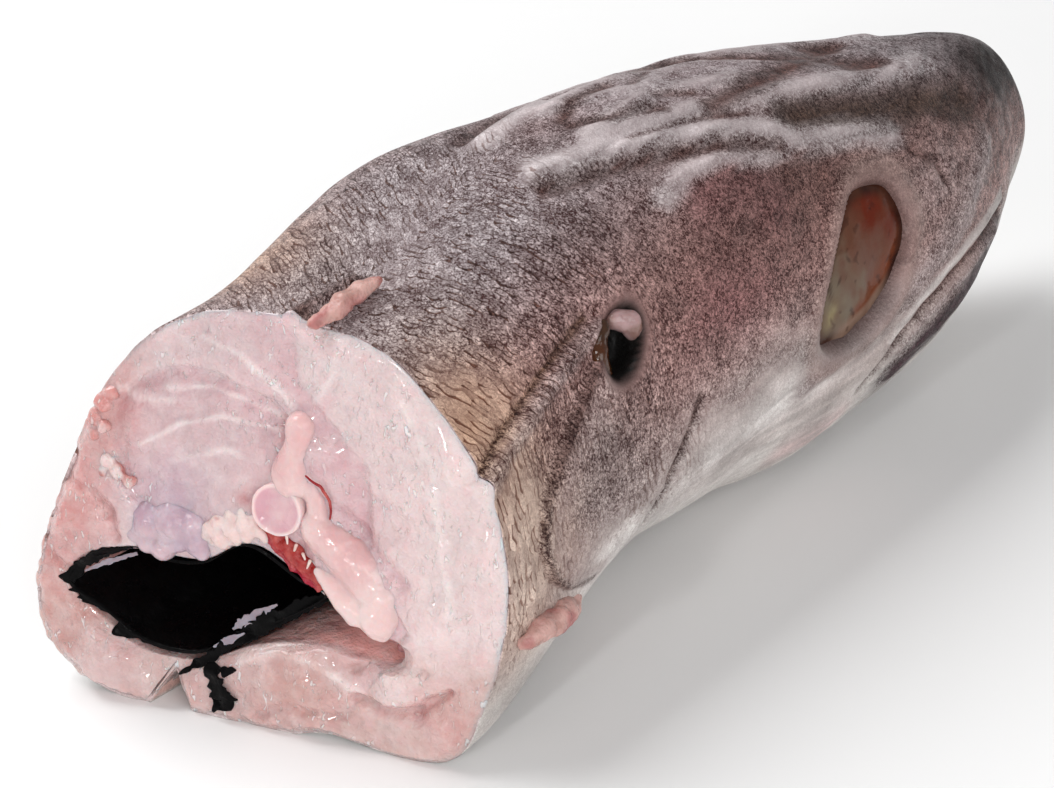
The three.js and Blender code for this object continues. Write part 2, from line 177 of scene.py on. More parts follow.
# Larger fields of tone: s, angle, spread along, spread round in degrees, tone, share
SKIN_FIELDS = {
    "head": (98, 48, 52, 30, "brow", 0.85),
    "snout": (8, 56, 42, 55, "snout", 0.97),
    "cheek": (135, 27, 20, 13, "cheek", 0.7),
    "low cheek": (136, -2, 36, 13, "pale", 0.95),
    "under eye": (100, -3, 26, 7, "pale", 0.6),
    "before eye": (60, 24, 18, 16, "jaw", 0.5),
    "behind gill": (204, 18, 6, 18, "strip", 0.7),
    # painted shade in a notch at the cut
    "notch": (221, 82, 2.5, 4, "dark", 0.9),
    "gill cover": (182, 14, 20, 18, "grey", 0.85),
    # pale skin with a painted sheen on it
    "low gill cover": (178, -14, 24, 13, "pale", 0.75),
    "shoulder": (210, 43, 14, 26, "tan", 0.75),
    "low shoulder": (212, 6, 13, 24, "strip", 0.7),
    "flank": (161, 56, 26, 14, "red brown", 0.3),
    "nape": (148, 88, 14, 14, "red brown", 0.45),
    "back": (187, 72, 45, 20, "silver", 0.45),
}

# The eyes and gill holes: place on the skin, outline or half sizes along and across, turn, depth and rim
EYE_PLACE = (90, 15)
EYE_MIDDLE = (-1, 0.5)
EYE_OUTLINE = (
    (15.5, 5), (16.5, 0), (14, -5.5), (8, -8.4), (-1, -9.2), (-10, -6.2), (-16, -2.2),
    (-20, 2.4), (-17, 5.8), (-2, 9), (8, 9.8),
)
EYE_TURN = 0.55
SOCKET_DEPTH = 4.2
SOCKET_RIM = 0.7
EYE_SINK = 2.4
EYE_DOME = 1.0
GILL_PLACE = (166, 34.5)
GILL_HALF = (7.8, 5.0)
GILL_TURN = 0.6
GILL_DEPTH = 6.5
GILL_RIM = 0.6

# Belly cavity on the cut, and how it narrows forward
CAVITY_OUTLINE = (
    (-41, 23), (-37, 29.5), (-27, 34), (-13, 34.5), (-2.5, 40), (9, 35), (20, 28.5), (31, 24.5),
    (29, 20), (14, 21), (1, 18.5), (-9, 13), (-17, 11.4), (-25, 12.2), (-35, 18),
)
CAVITY_MIDDLE = (-8, 27)
CAVITY_END = 164
CAVITY_NARROWING = 0.45
CAVITY_END_SHARPNESS = 4

# How finely the flesh is divided: round, in the wall under the skin, over the cut and in the cavity
FLESH_COLUMNS = 420
WALL_ROWS = 8
EDGE_ROWS = 4
FACE_ROWS = 130
CAVITY_ROWS = 26

# The hidden wall of the flesh: the level it closes at, and how far it draws in under the skin
WALL_LEVEL = 48.0
WALL_DRAWN_IN = 0.3

# Tones of the flesh; deep is painted shade deeper in the belly cavity
FLESH_TONES = {
    "outer": tone(217, 194, 195),
    "right": tone(230, 207, 206),
    "inner": tone(208, 161, 168),
    "salmon": tone(203, 134, 129),
    "white": tone(248, 238, 236),
    "flap": tone(196, 149, 139),
    "lilac": tone(192, 164, 178),
    "deep": tone(150, 70, 72),
    "blood": tone(165, 46, 50),
}

# Ledges on the cut as (x, z), lower on their left: line, drop, reach of the drop, tone and its share
FACE_LEDGES = {
    "left panel": (((8, 58), (6.5, 66), (-0.5, 72.6), (-10, 75.5), (-20, 76.5), (-28, 73.6), (-33, 68.5),
                    (-36, 62), (-34, 55), (-31, 47), (-24, 40)), 1.3, 9, "inner", 0.7),
    "right panel": (((30, 22), (33.3, 27.8), (22.5, 44.8), (21.4, 60.8), (5.6, 77.4), (2, 92)),
                    1.0, 9, "inner", 0.75),
}

# Lines on the cut as (x, z): line, spread and height of the relief, tone, spread and share of the tone
FACE_LINES = {
    "upper septum": (((-34, 69), (-29, 67), (-22, 67.5)), 0.6, 0.4, "white", 0.6, 0.5),
    "main septum": (((-28, 57), (-20, 63), (-11, 66.5), (2, 65.5)), 0.6, 0.4, "white", 0.5, 0.5),
    "back septum": (((4, 71), (-1, 76), (-8, 80), (-17, 82.5)), 0.6, 0.3, "white", 0.6, 0.45),
    "fan septum": (((2, 68), (-6, 71), (-14, 72), (-24, 70)), 0.5, 0.25, "white", 0.5, 0.45),
    "top septum": (((8, 73), (11, 79), (12, 86)), 0.7, 0.3, "white", 0.7, 0.35),
    "low septum": (((-2, 58), (-10, 59.5), (-21, 55)), 0.6, 0.25, "white", 0.6, 0.35),
    "outer septum": (((26, 76), (33, 64), (36, 50), (40, 34)), 1.0, 0.4, "white", 1.2, 0.4),
    "spine groove": (((2.2, 68), (2.6, 62), (1.5, 57)), 1.2, -0.9, "salmon", 1.3, 0.5),
    "stem groove": (((15, 51), (22, 45), (30, 38.5)), 1.6, -1.1, "inner", 1.8, 0.5),
    "lobe groove": (((23, 12), (29, 10.5), (36, 12), (42, 17)), 1.2, -2.2, "salmon", 1.5, 0.6),
    "lobe top": (((22, 18), (28, 21.5), (37, 20.5)), 1.2, -0.9, "flap", 1.3, 0.4),
    "flap fascia": (((-2, 15), (6, 19), (14, 18), (24, 13)), 1.0, 0.6, "white", 1.2, 0.6),
    "flap fold": (((2, 3), (9, 7), (20, 7)), 1.2, -0.8, "salmon", 1.3, 0.3),
    "left crease": (((-44, 47), (-38, 45.5), (-33, 41), (-31, 36)), 1.2, -1.4, "salmon", 1.4, 0.5),
    "side crease": (((-49, 32), (-45, 28.5), (-42, 27)), 1.0, -0.8, "salmon", 1.1, 0.4),
}

# Lumps and hollows on the cut: x, z, spread, height, tone, share
FACE_SPOTS = {
    "beside spine": (12, 62, 5, 1.6, "inner", 0.4),
    "right hollow": (21, 50, 7, -1.0, "inner", 0.5),
    "lobe": (31, 16.5, 6, 3.2, "right", 0.9),
    "pool": (36, 11, 2.4, -1.6, "blood", 0.3),
    "low corner": (43, 9, 5, 1.0, "salmon", 0.5),
    "left flap": (-31, 8, 8, 2.0, "outer", 0.5),
    "right flap": (12, 12, 9, 2.0, "flap", 0.6),
    "left side": (-41, 41, 8, 1.2, "salmon", 0.6),
    "upper left": (-37, 62, 8, 0.6, "salmon", 0.7),
    "lilac": (-20, 47, 8, 0.4, "lilac", 0.85),
    "blood": (-4.5, 50, 2.2, 0.2, "blood", 0.6),
    "second blood": (-1.4, 48.6, 1.4, 0.2, "blood", 0.5),
    "flap blood": (-28, 11, 3.0, 0.0, "blood", 0.2),
}
VERTEBRA_PLACE = (3, 49.5)


# Shape of the fish

def mix(start, end, share):
    return start + (end - start) * share


def smooth(low, high, value):
    share = np.clip((value - low) / (high - low), 0, 1)
    return share * share * (3 - 2 * share)


def bell(distance, spread):
    return np.exp(-((distance / spread) ** 2))


def cloud(place, size, seed=0):
    """Smooth noise from -1 to 1 over places, with lumps of a size."""
    spot = np.asarray(place, float) / size + 17.31 * seed
    cell = np.floor(spot).astype(np.int64)
    part = spot - cell
    ease = part * part * (3 - 2 * part)
    total = np.zeros(len(spot))
    for corner in np.ndindex(2, 2, 2):
        key = (cell + corner) * (73856093, 19349663, 83492791)
        code = key[:, 0] ^ key[:, 1] ^ key[:, 2]
        code = (code * 2654435761) & 0xFFFFFFFF
        code = ((code ^ (code >> 15)) * 2246822519) & 0xFFFFFFFF
        value = ((code ^ (code >> 13)) & 0xFFFF) / 32767.5 - 1
        weight = np.where(corner, ease, 1 - ease).prod(axis=1)
        total += weight * value
    return total


def profile(values, s):
    """Smooth curve through one value at each station, read at distances s."""
    values = np.asarray(values, float)
    count = np.arange(len(values))
    before = np.maximum(count - 1, 0)
    after = np.minimum(count + 1, count[-1])
    slopes = (values[after] - values[before]) / (STATIONS[after] - STATIONS[before])
    at = np.clip(s, STATIONS[0], STATIONS[-1])
    i = np.clip(np.searchsorted(STATIONS, at, side="right") - 1, 0, count[-1] - 1)
    span = STATIONS[i + 1] - STATIONS[i]
    t = (at - STATIONS[i]) / span
    ends = mix(values[i], values[i + 1], t * t * (3 - 2 * t))
    return ends + span * t * (1 - t) * ((1 - t) * slopes[i] - t * slopes[i + 1])


def changing(change, s):
    head, rear, start, end = change
    return mix(head, rear, smooth(start, end, s))


def plain_section(s, angle):
    """x and z of the plain body, a rounded box whose lower half fills out towards the cut."""
    half_width = profile(HALF_WIDTH, s)
    back = profile(BACK_HEIGHT, s)
    belly = profile(BELLY_HEIGHT, s)
    rounding = np.sqrt(1 - (1 - np.clip(s / SNOUT_ROUNDING, 0, 1)) ** 2)
    snout = mix(belly, back, SNOUT_LEVEL)
    top = mix(snout, back, rounding)
    bottom = mix(snout, belly, rounding)
    middle = mix(bottom, top, changing(WIDEST_LEVEL, s))
    across = np.cos(np.radians(angle))
    up = np.sin(np.radians(angle))
    lower = changing(LOWER_FULLNESS, s) + changing(BELLY_FILLING, s)
    power = 2 / np.where(up >= 0, changing(UPPER_FULLNESS, s), lower)
    reach = np.where(up >= 0, top - middle, middle - bottom)
    z = middle + reach * np.sign(up) * np.abs(up) ** power
    x = half_width * rounding * np.sign(across) * np.abs(across) ** power
    return x + changing(LEAN, s) * z, z


def turn_between(angle, other):
    """Difference of two angles in degrees, from -180 to 180."""
    return (angle - other + 180) % 360 - 180


def per_degree(s):
    """Millimetres on the skin for one degree round the body."""
    return radians(1) * profile(HALF_WIDTH, s)


def path_distance(line, u, v, wide=1.0, wrap=None):
    """Distance from places (u, v) to a line, and 1 on the line's left or -1 on its right."""
    nearest = np.full(np.shape(u), np.inf)
    side = np.ones(np.shape(u))
    for (start_u, start_v), (end_u, end_v) in zip(line, line[1:]):
        run_u = end_u - start_u
        run_v = (end_v - start_v) * wide
        off_u = u - start_u
        off_v = (wrap(v, start_v) if wrap else v - start_v) * wide
        share = np.clip((off_u * run_u + off_v * run_v) / (run_u ** 2 + run_v ** 2), 0, 1)
        distance = np.hypot(off_u - share * run_u, off_v - share * run_v)
        closer = distance < nearest
        nearest = np.where(closer, distance, nearest)
        side = np.where(closer, np.sign(run_u * off_v - run_v * off_u), side)
    return nearest, side


def skin_distance(line, s, angle, both_sides=True):
    """Distance on the skin to a line of (s, angle), and on which side of it a place is."""
    wide = per_degree(s)
    right = path_distance(line, s, angle, wide, turn_between)
    if not both_sides:
        return right
    left = path_distance(line, s, 180 - angle, wide, turn_between)
    closer = left[0] < right[0]
    return np.where(closer, left[0], right[0]), np.where(closer, left[1], right[1])


def folded(angle):
    """The angle on the right side that mirrors an angle on the left."""
    turned = (angle + 90) % 360 - 90
    return np.where(turned > 90, 180 - turned, turned)


def spot_on_skin(place, half, turn, s, angle, middle=(0, 0)):
    """Places measured along and across a turned oval on the skin, 1 at its edge."""
    ahead = place[0] - s
    up = (folded(angle) - place[1]) * per_degree(s)
    along = ahead * cos(turn) + up * sin(turn) - middle[0]
    across = up * cos(turn) - ahead * sin(turn) - middle[1]
    return along / half[0], across / half[1]


def place_on_skin(place, turn, along, across):
    """s and angle of a place given in millimetres along and across a turned oval on the skin."""
    s = place[0] - (along * cos(turn) - across * sin(turn))
    angle = place[1] + (along * sin(turn) + across * cos(turn)) / per_degree(s)
    return s, angle


def lengths_along(path):
    """How far each corner of a path is from its start."""
    return np.concatenate([[0], np.cumsum(np.linalg.norm(np.diff(path, axis=0), axis=1))])


def read_along(path, lengths, at):
    """Places on a path at distances from its start."""
    return np.stack([np.interp(at, lengths, column) for column in path.T], axis=-1)


def flat_path(path):
    """The (x, z) of a path of (x, z, out)."""
    return [corner[:2] for corner in path]


def closed_curve(corners, count):
    """Points evenly spread on a smooth closed curve through corners."""
    corners = np.asarray(corners, float)
    t = np.linspace(0, len(corners), 40 * len(corners), endpoint=False)
    i = t.astype(int)
    f = (t - i)[:, None]
    p0, p1, p2, p3 = (corners[(i + k) % len(corners)] for k in (-1, 0, 1, 2))
    curve = 0.5 * (2 * p1 + (p2 - p0) * f + (2 * p0 - 5 * p1 + 4 * p2 - p3) * f ** 2
                   + (3 * p1 - p0 - 3 * p2 + p3) * f ** 3)
    closed = np.concatenate([curve, curve[:1]])
    lengths = lengths_along(closed)
    return read_along(closed, lengths, np.linspace(0, lengths[-1], count, endpoint=False))


def reach_reader(points, middle):
    """A function that gives how far a closed curve is from a middle in a direction."""
    off = points - np.asarray(middle, float)
    direction = np.arctan2(off[:, 1], off[:, 0])
    order = np.argsort(direction)
    direction, reach = direction[order], np.hypot(off[:, 0], off[:, 1])[order]

    def read(at):
        return np.interp(at, direction, reach, period=2 * pi)
    return read


def from_middle(middle, far, direction):
    return np.stack([middle[0] + far * np.cos(direction), middle[1] + far * np.sin(direction)], axis=-1)


EYE_REACH = reach_reader(closed_curve(EYE_OUTLINE, 300), EYE_MIDDLE)


def eye_share(s, angle):
    """How far out from the middle of an eye a place on the skin is, 1 at the eye's edge."""
    along, across = spot_on_skin(EYE_PLACE, (1, 1), EYE_TURN, s, angle, EYE_MIDDLE)
    return np.hypot(along, across) / EYE_REACH(np.arctan2(across, along))


def gill_share(s, angle):
    """How far out from the middle of a gill hole a place on the skin is, 1 at the hole's edge."""
    return np.hypot(*spot_on_skin(GILL_PLACE, GILL_HALF, GILL_TURN, s, angle))


def wrinkles(s, angle):
    """Fine unevenness of the skin."""
    fold = folded(angle)
    round_body = fold * per_degree(s)
    side = np.where(np.abs(turn_between(angle, 90)) < 90, 0.0, 40.0) + np.where(angle > 90, 7.0, 0.0)
    place = np.stack([s, round_body, side], axis=-1)
    height = 0.35 * cloud(place, 19, 1) + 0.16 * cloud(place, 6, 2)
    behind_gill = bell(s - 212, 11) * bell(fold - 14, 24)
    height += 0.42 * behind_gill * cloud(place * (1 / 2.2, 1 / 15, 1), 1, 3)
    on_head = 1 - smooth(120, 175, s)
    height += 0.22 * on_head * cloud(place * (1 / 6, 1 / 2.2, 1), 1, 4)
    on_back = smooth(150, 185, s) * smooth(30, 60, fold)
    height += 0.2 * on_back * cloud(place * (1 / 9, 1 / 2.6, 1), 1, 5)
    return height


def relief(s, angle):
    """Height of ridges, grooves, sockets and wrinkles above the plain body."""
    height = wrinkles(s, angle)
    for line, spread, rise, *_ in HEAD_LINES.values():
        height += rise * bell(skin_distance(line, s, angle)[0], spread)
    distance, side = skin_distance(GILL_COVER_EDGE, s, angle)
    behind = np.where(side > 0, distance, 0)
    along_edge = smooth(-16, -4, folded(angle)) * (1 - smooth(42, 48, folded(angle)))
    height -= GILL_COVER_STEP * along_edge * smooth(0, 1.4, behind) * np.exp(-behind / GILL_COVER_STEP_REACH)
    height += DORSAL_FOLD_HEIGHT * bell(skin_distance(DORSAL_FOLD, s, angle, False)[0], DORSAL_FOLD_SPREAD)
    for at, spread, rise, start, end in SWELLINGS:
        height += smooth(start, end, s) * rise * bell(turn_between(angle, at), spread)
    eye = eye_share(s, angle)
    height += SOCKET_RIM * bell(eye - 1.22, 0.14) - SOCKET_DEPTH * (1 - smooth(0.96, 1.07, eye))
    gill = gill_share(s, angle)
    return height + GILL_RIM * bell(gill - 1.25, 0.2) - GILL_DEPTH * (1 - smooth(0.3, 1.05, gill))


def skin_points(s, angle, lift=0.0, height=None):
    """Places of the skin in millimetres, lifted from it by a distance."""
    x, z = plain_section(s, angle)
    snout_level = mix(profile(BELLY_HEIGHT, s), profile(BACK_HEIGHT, s), SNOUT_LEVEL)
    level = np.minimum(SWELLING_AXIS_LEVEL, snout_level)
    away = np.maximum(np.hypot(x, z - level), 0.001)
    push = smooth(0, 2 * SNOUT_ROUNDING, s) * (relief(s, angle) if height is None else height) + lift
    x = x + push * x / away
    z = np.maximum(z + push * (z - level) / away, np.maximum(-lift, 0))
    open_share = smooth(0, SLIT_LENGTH, s - (cut_distance(SLIT_X, 0) - SLIT_LENGTH))
    beside = np.clip(1 - np.abs(x - SLIT_X) / (SLIT_HALF_WIDTH - np.minimum(lift, 0)), 0, 1)
    z = np.where(z < SLIT_HEIGHT, z + SLIT_HEIGHT * open_share * beside * (1 - z / SLIT_HEIGHT), z)
    return np.stack([x + SIDE_SHIFT, HALF_LENGTH - s, z], axis=-1)


def cut_distance(x, z):
    return CUT_AT_BACK + CUT_PER_HEIGHT * (CUT_BACK_LEVEL - z) - CUT_PER_SIDE * x


def cut_station(angle):
    """Where the skin at an angle meets the cut."""
    s = np.full(np.shape(angle), float(CUT_AT_BACK))
    for _ in range(6):
        points = skin_points(s, angle)
        s = cut_distance(points[..., 0] - SIDE_SHIFT, points[..., 2])
    return s


def on_cut(x, z, out=0.0):
    """Places on the cut, moved out from its plane."""
    points = np.stack([x + SIDE_SHIFT, HALF_LENGTH - cut_distance(x, z), z + 0 * x], axis=-1)
    return points + np.asarray(out)[..., None] * CUT_NORMAL


# Meshes

def mesh_of(shape, name):
    """The mesh of a bmesh, which is freed."""
    mesh = bpy.data.meshes.new(name)
    shape.to_mesh(mesh)
    shape.free()
    return mesh


def closed_net(name, columns, rows, place):
    """A closed mesh from a rolled up sheet: place(row, turn) gives millimetres, turn runs from 0 to 1."""
    net = bmesh.new()
    bmesh.ops.create_grid(net, x_segments=columns, y_segments=rows, size=1)
    sheet = list(net.verts)
    flat = np.array([vertex.co for vertex in sheet])
    column = np.rint((flat[:, 0] + 1) / 2 * columns).astype(int)
    row = np.rint((flat[:, 1] + 1) / 2 * rows).astype(int)
    first = {line: i for i, line in enumerate(row) if column[i] == 0}
    welded = {}
    for i in np.flatnonzero((column == columns) | (row == 0) | (row == rows)):
        if i != first[row[i]]:
            welded[sheet[i]] = sheet[first[row[i]]]
    bmesh.ops.weld_verts(net, targetmap=welded)
    flat = np.array([vertex.co for vertex in net.verts])
    mesh = mesh_of(net, name)
    turn = np.rint((flat[:, 0] + 1) / 2 * columns) / columns
    row = np.rint((flat[:, 1] + 1) / 2 * rows)
    set_points(mesh, place(row, turn))
    return mesh, row, turn


def set_points(mesh, points):
    mesh.vertices.foreach_set("co", (np.asarray(points) * MM).astype(np.float32).ravel())
    mesh.update()


def get_points(mesh):
    points = np.empty(3 * len(mesh.vertices), np.float32)
    mesh.vertices.foreach_get("co", points)
    return points.reshape(-1, 3).astype(float) / MM


def set_values(mesh, name, values):
    """One number for each vertex, for the material to read."""
    layer = mesh.attributes.new(name, "FLOAT", "POINT")
    layer.data.foreach_set("value", np.asarray(values, np.float32))


def plain_tint(colour, count):
    """The same colour for a number of vertices."""
    return np.tile(np.asarray(colour, float), (count, 1))


def blend_tone(colours, share, colour):
    return mix(colours, np.asarray(colour), np.clip(share, 0, 1)[:, None])


def set_tint(mesh, colours):
    """Colours of the vertices, or one colour for all, for the material to read."""
    if np.ndim(colours) == 1:
        colours = plain_tint(colours, len(mesh.vertices))
    layer = mesh.attributes.new("tint", "FLOAT_COLOR", "POINT")
    full = np.ones((len(mesh.vertices), 4), np.float32)
    full[:, :3] = np.clip(colours, 0, 1)
    layer.data.foreach_set("color", full.ravel())


def set_map(mesh, name, turn, place):
    """A map in metres: place(turn, vertex) gives (u, v) for each corner, and turn runs on across the seam."""
    corner_vertex = np.empty(len(mesh.loops), np.int64)
    mesh.loops.foreach_get("vertex_index", corner_vertex)
    start = np.empty(len(mesh.polygons), np.int64)
    mesh.polygons.foreach_get("loop_start", start)
    size = np.empty(len(mesh.polygons), np.int64)
    mesh.polygons.foreach_get("loop_total", size)
    corner_turn = turn[corner_vertex]
    largest = np.repeat(np.maximum.reduceat(corner_turn, start), size)
    corner_turn = np.where(largest - corner_turn > 0.5, corner_turn + 1, corner_turn)
    layer = mesh.uv_layers.new(name=name)
    layer.data.foreach_set("uv", place(corner_turn, corner_vertex).astype(np.float32).ravel())


def show(mesh, material, slot, *nodes):
    """Makes a piece of a mesh: smooth, with its finish, on the part's one body."""
    mesh.materials.append(material)
    mesh.polygons.foreach_set("use_smooth", np.ones(len(mesh.polygons), bool))
    piece = bpy.data.objects.new(mesh.name, mesh)
    bpy.context.scene.collection.objects.link(piece)
    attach(piece, "root")
    if nodes:
        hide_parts(*nodes)
    return piece


def applied(mesh, *modifiers):
    """The mesh after modifiers, given as (kind, settings)."""
    holder = bpy.data.objects.new("holder", mesh)
    bpy.context.scene.collection.objects.link(holder)
    for kind, settings in modifiers:
        modifier = holder.modifiers.new(kind.title(), kind)
        for name, value in settings.items():
            setattr(modifier, name, value)
    bpy.context.view_layer.update()
    result = bpy.data.meshes.new_from_object(holder.evaluated_get(bpy.context.evaluated_depsgraph_get()))
    result.name = mesh.name
    bpy.data.objects.remove(holder)
    bpy.data.meshes.remove(mesh)
    return result


def balls_along(path, radii, step=0.6):
    """Balls (x, z, out, radius) that follow a path of (x, z, out), close enough to make one bar."""
    path = np.column_stack([path, radii]).astype(float)
    lengths = lengths_along(path[:, :3])
    at = np.linspace(0, lengths[-1], max(int(lengths[-1] / step), 1) + 1)
    return read_along(path, lengths, at)


def soft_lump(name, centres, radii, voxel=0.45, rounds=6):
    """One soft solid melted together from balls, in millimetres."""
    melted = bmesh.new()
    for centre, radius in zip(centres, radii):
        place = Matrix.Translation(Vector(centre * MM))
        bmesh.ops.create_icosphere(melted, subdivisions=2, radius=radius * MM, matrix=place)
    remesh = ("REMESH", {"mode": "VOXEL", "voxel_size": voxel * MM})
    soften = ("SMOOTH", {"factor": 0.5, "iterations": rounds})
    return applied(mesh_of(melted, name), remesh, soften)


def lump_on_cut(name, balls, voxel=0.45, rounds=6):
    """A soft lump of balls (x, z, out, radius) on the cut."""
    balls = np.concatenate(balls) if isinstance(balls, list) else np.asarray(balls, float)
    centres = on_cut(balls[:, 0], balls[:, 1], balls[:, 2])
    return soft_lump(name, centres, balls[:, 3], voxel, rounds)


def roughen(mesh, *layers):
    """Moves vertices along their normals by noise, given as (size, depth, seed)."""
    points = get_points(mesh)
    normals = np.empty(3 * len(mesh.vertices), np.float32)
    mesh.vertices.foreach_get("normal", normals)
    depth = sum(deep * cloud(points, size, seed) for size, deep, seed in layers)
    set_points(mesh, points + depth[:, None] * normals.reshape(-1, 3))
    return points


def mottled_tint(mesh, points, first, second, share, low, size, seed):
    """A first tone, clouded with a second one."""
    clouded = share * smooth(low, 0.6, cloud(points, size, seed))
    set_tint(mesh, blend_tone(plain_tint(first, len(points)), clouded, second))


def torn_strip(name, face, path, widths, seed, thickness=0.35, ragged=0.4):
    """A thin torn ribbon along a path of (x, z, lift) over the cut face, with ragged edges."""
    length_steps = 90
    width_steps = 10
    sheet = bmesh.new()
    bmesh.ops.create_grid(sheet, x_segments=length_steps, y_segments=width_steps, size=1)
    flat = np.array([vertex.co for vertex in sheet.verts])
    mesh = mesh_of(sheet, name)
    path = np.asarray(path, float)
    lengths = lengths_along(path)
    at = (flat[:, 0] + 1) / 2 * lengths[-1]
    spots = read_along(path, lengths, at)
    run = read_along(path, lengths, at + 0.4) - read_along(path, lengths, at - 0.4)
    aside = np.stack([-run[:, 1], run[:, 0]], axis=-1)
    aside /= np.maximum(np.linalg.norm(aside, axis=1), 1e-6)[:, None]
    edge = np.stack([at, 3 * np.sign(flat[:, 1]), 0 * at + seed], axis=-1)
    tears = 1 + ragged * cloud(edge, 1.3, seed) + ragged * cloud(edge, 0.6, 8)
    across = flat[:, 1] * (np.interp(at, lengths, widths) / 2 * tears)
    curl = 0.5 * cloud(np.stack([at, across, 0 * at], axis=-1), 3.0, seed + 3)
    x = spots[:, 0] + across * aside[:, 0]
    z = spots[:, 1] + across * aside[:, 1]
    set_points(mesh, on_cut(x, z, face(x, z)[0] + spots[:, 2] + curl))
    return applied(mesh, ("SOLIDIFY", {"thickness": thickness * MM, "offset": 0.0}))


def joined(name, meshes):
    """One mesh of several."""
    whole = bmesh.new()
    for mesh in meshes:
        whole.from_mesh(mesh)
        bpy.data.meshes.remove(mesh)
    return mesh_of(whole, name)


# Materials

def link_or_set(tree, socket, value):
    if isinstance(value, bpy.types.NodeSocket):
        tree.links.new(value, socket)
    else:
        socket.default_value = value


def add_node(tree, kind, inputs=None, **settings):
    """A node with its settings, and its inputs set or linked by name or number."""
    node = tree.nodes.new(kind)
    for name, value in settings.items():
        setattr(node, name, value)
    for name, value in (inputs or {}).items():
        link_or_set(tree, node.inputs[name], value)
    return node


def set_sockets(node, values):
    """Constant values on a node's own sockets."""
    for name, value in values.items():
        node.inputs[name].default_value = value


def number(tree, operation, first, second=0.0, third=0.0):
    inputs = {0: first, 1: second, 2: third}
    return add_node(tree, "ShaderNodeMath", inputs, operation=operation).outputs[0]


def product(tree, first, second):
    return number(tree, "MULTIPLY", first, second)


def vector(tree, operation, first, second):
    """Vector arithmetic; the second value is a number for SCALE."""
    inputs = {0: first, "Scale" if operation == "SCALE" else 1: second}
    return add_node(tree, "ShaderNodeVectorMath", inputs, operation=operation).outputs[0]


def noise(tree, place, scale, detail=2.0, output="Fac", **more):
    """A noise texture, with its roughness or distortion where it has them."""
    inputs = {"Vector": place, "Scale": scale, "Detail": detail, **more}
    return add_node(tree, "ShaderNodeTexNoise", inputs).outputs[output]


def object_place(tree):
    return add_node(tree, "ShaderNodeTexCoord").outputs["Object"]


def mixed(tree, share, first, second, blend="MIX"):
    """Two colours mixed by a share."""
    node = add_node(tree, "ShaderNodeMix", data_type="RGBA", blend_type=blend)
    link_or_set(tree, node.inputs["Factor"], share)
    link_or_set(tree, node.inputs["A"], first)
    link_or_set(tree, node.inputs["B"], second)
    return node.outputs["Result"]


def ranged(tree, value, low, high, start=0.0, end=1.0):
    """A value mapped from one range to another, held at its ends."""
    inputs = {"Value": value, "From Min": low, "From Max": high, "To Min": start, "To Max": end}
    return add_node(tree, "ShaderNodeMapRange", inputs).outputs["Result"]


def new_group(name, inputs, outputs):
    """An empty node group with named sockets of (name, kind, default) and (name, kind)."""
    group = bpy.data.node_groups.new(name, "ShaderNodeTree")
    for label, kind, default in inputs:
        socket = group.interface.new_socket(name=label, in_out="INPUT", socket_type=kind)
        socket.default_value = default
    for label, kind in outputs:
        group.interface.new_socket(name=label, in_out="OUTPUT", socket_type=kind)
    return group, group.nodes.new("NodeGroupInput").outputs, group.nodes.new("NodeGroupOutput")


# How far the scales and pebbles stray from an even net in metres, and how many pebbles there are to a metre
SCALE_WANDER = 0.0021
PEBBLE_WANDER = 0.0016
PEBBLES_PER_METRE = (840.0, 1400.0, 1.0)


def scales_group():
    """Overlapping scales on the skin's own map: dark lines of painted shade behind them, a tilt, a tone each.
    """
    if "Hake scales" in bpy.data.node_groups:
        return bpy.data.node_groups["Hake scales"]
    inputs = [("Map", "NodeSocketVector", (0, 0, 0)), ("Width", "NodeSocketFloat", 0.0015),
              ("Length", "NodeSocketFloat", 0.003)]
    outputs = [("Line", "NodeSocketFloat"), ("Height", "NodeSocketFloat"), ("Shade", "NodeSocketFloat")]
    tree, given, out = new_group("Hake scales", inputs, outputs)
    wander = noise(tree, given["Map"], 260.0, output="Color")
    wander = vector(tree, "SCALE", vector(tree, "SUBTRACT", wander, (0.5, 0.5, 0.5)), SCALE_WANDER)
    size = add_node(tree, "ShaderNodeCombineXYZ", {0: given["Width"], 1: given["Length"], 2: 1.0})
    spot = vector(tree, "DIVIDE", vector(tree, "ADD", given["Map"], wander), size.outputs[0])
    cells = add_node(tree, "ShaderNodeTexVoronoi", {"Vector": spot, "Scale": 1.0, "Randomness": 0.9},
                     voronoi_dimensions="2D")
    off = vector(tree, "SUBTRACT", spot, cells.outputs["Position"])
    behind = add_node(tree, "ShaderNodeSeparateXYZ", {0: off}).outputs["Y"]
    reach = number(tree, "ADD", product(tree, cells.outputs["Distance"], 0.75), behind)
    shade = add_node(tree, "ShaderNodeSeparateXYZ", {0: cells.outputs["Color"]})
    strong = ranged(tree, shade.outputs["Y"], 0.2, 0.7)
    line = product(tree, ranged(tree, reach, 0.3, 0.6), strong)
    tree.links.new(line, out.inputs["Line"])
    rise = number(tree, "SUBTRACT", product(tree, behind, 0.6), cells.outputs["Distance"])
    tree.links.new(number(tree, "SUBTRACT", rise, product(tree, line, 0.6)), out.inputs["Height"])
    tree.links.new(shade.outputs["X"], out.inputs["Shade"])
    return tree


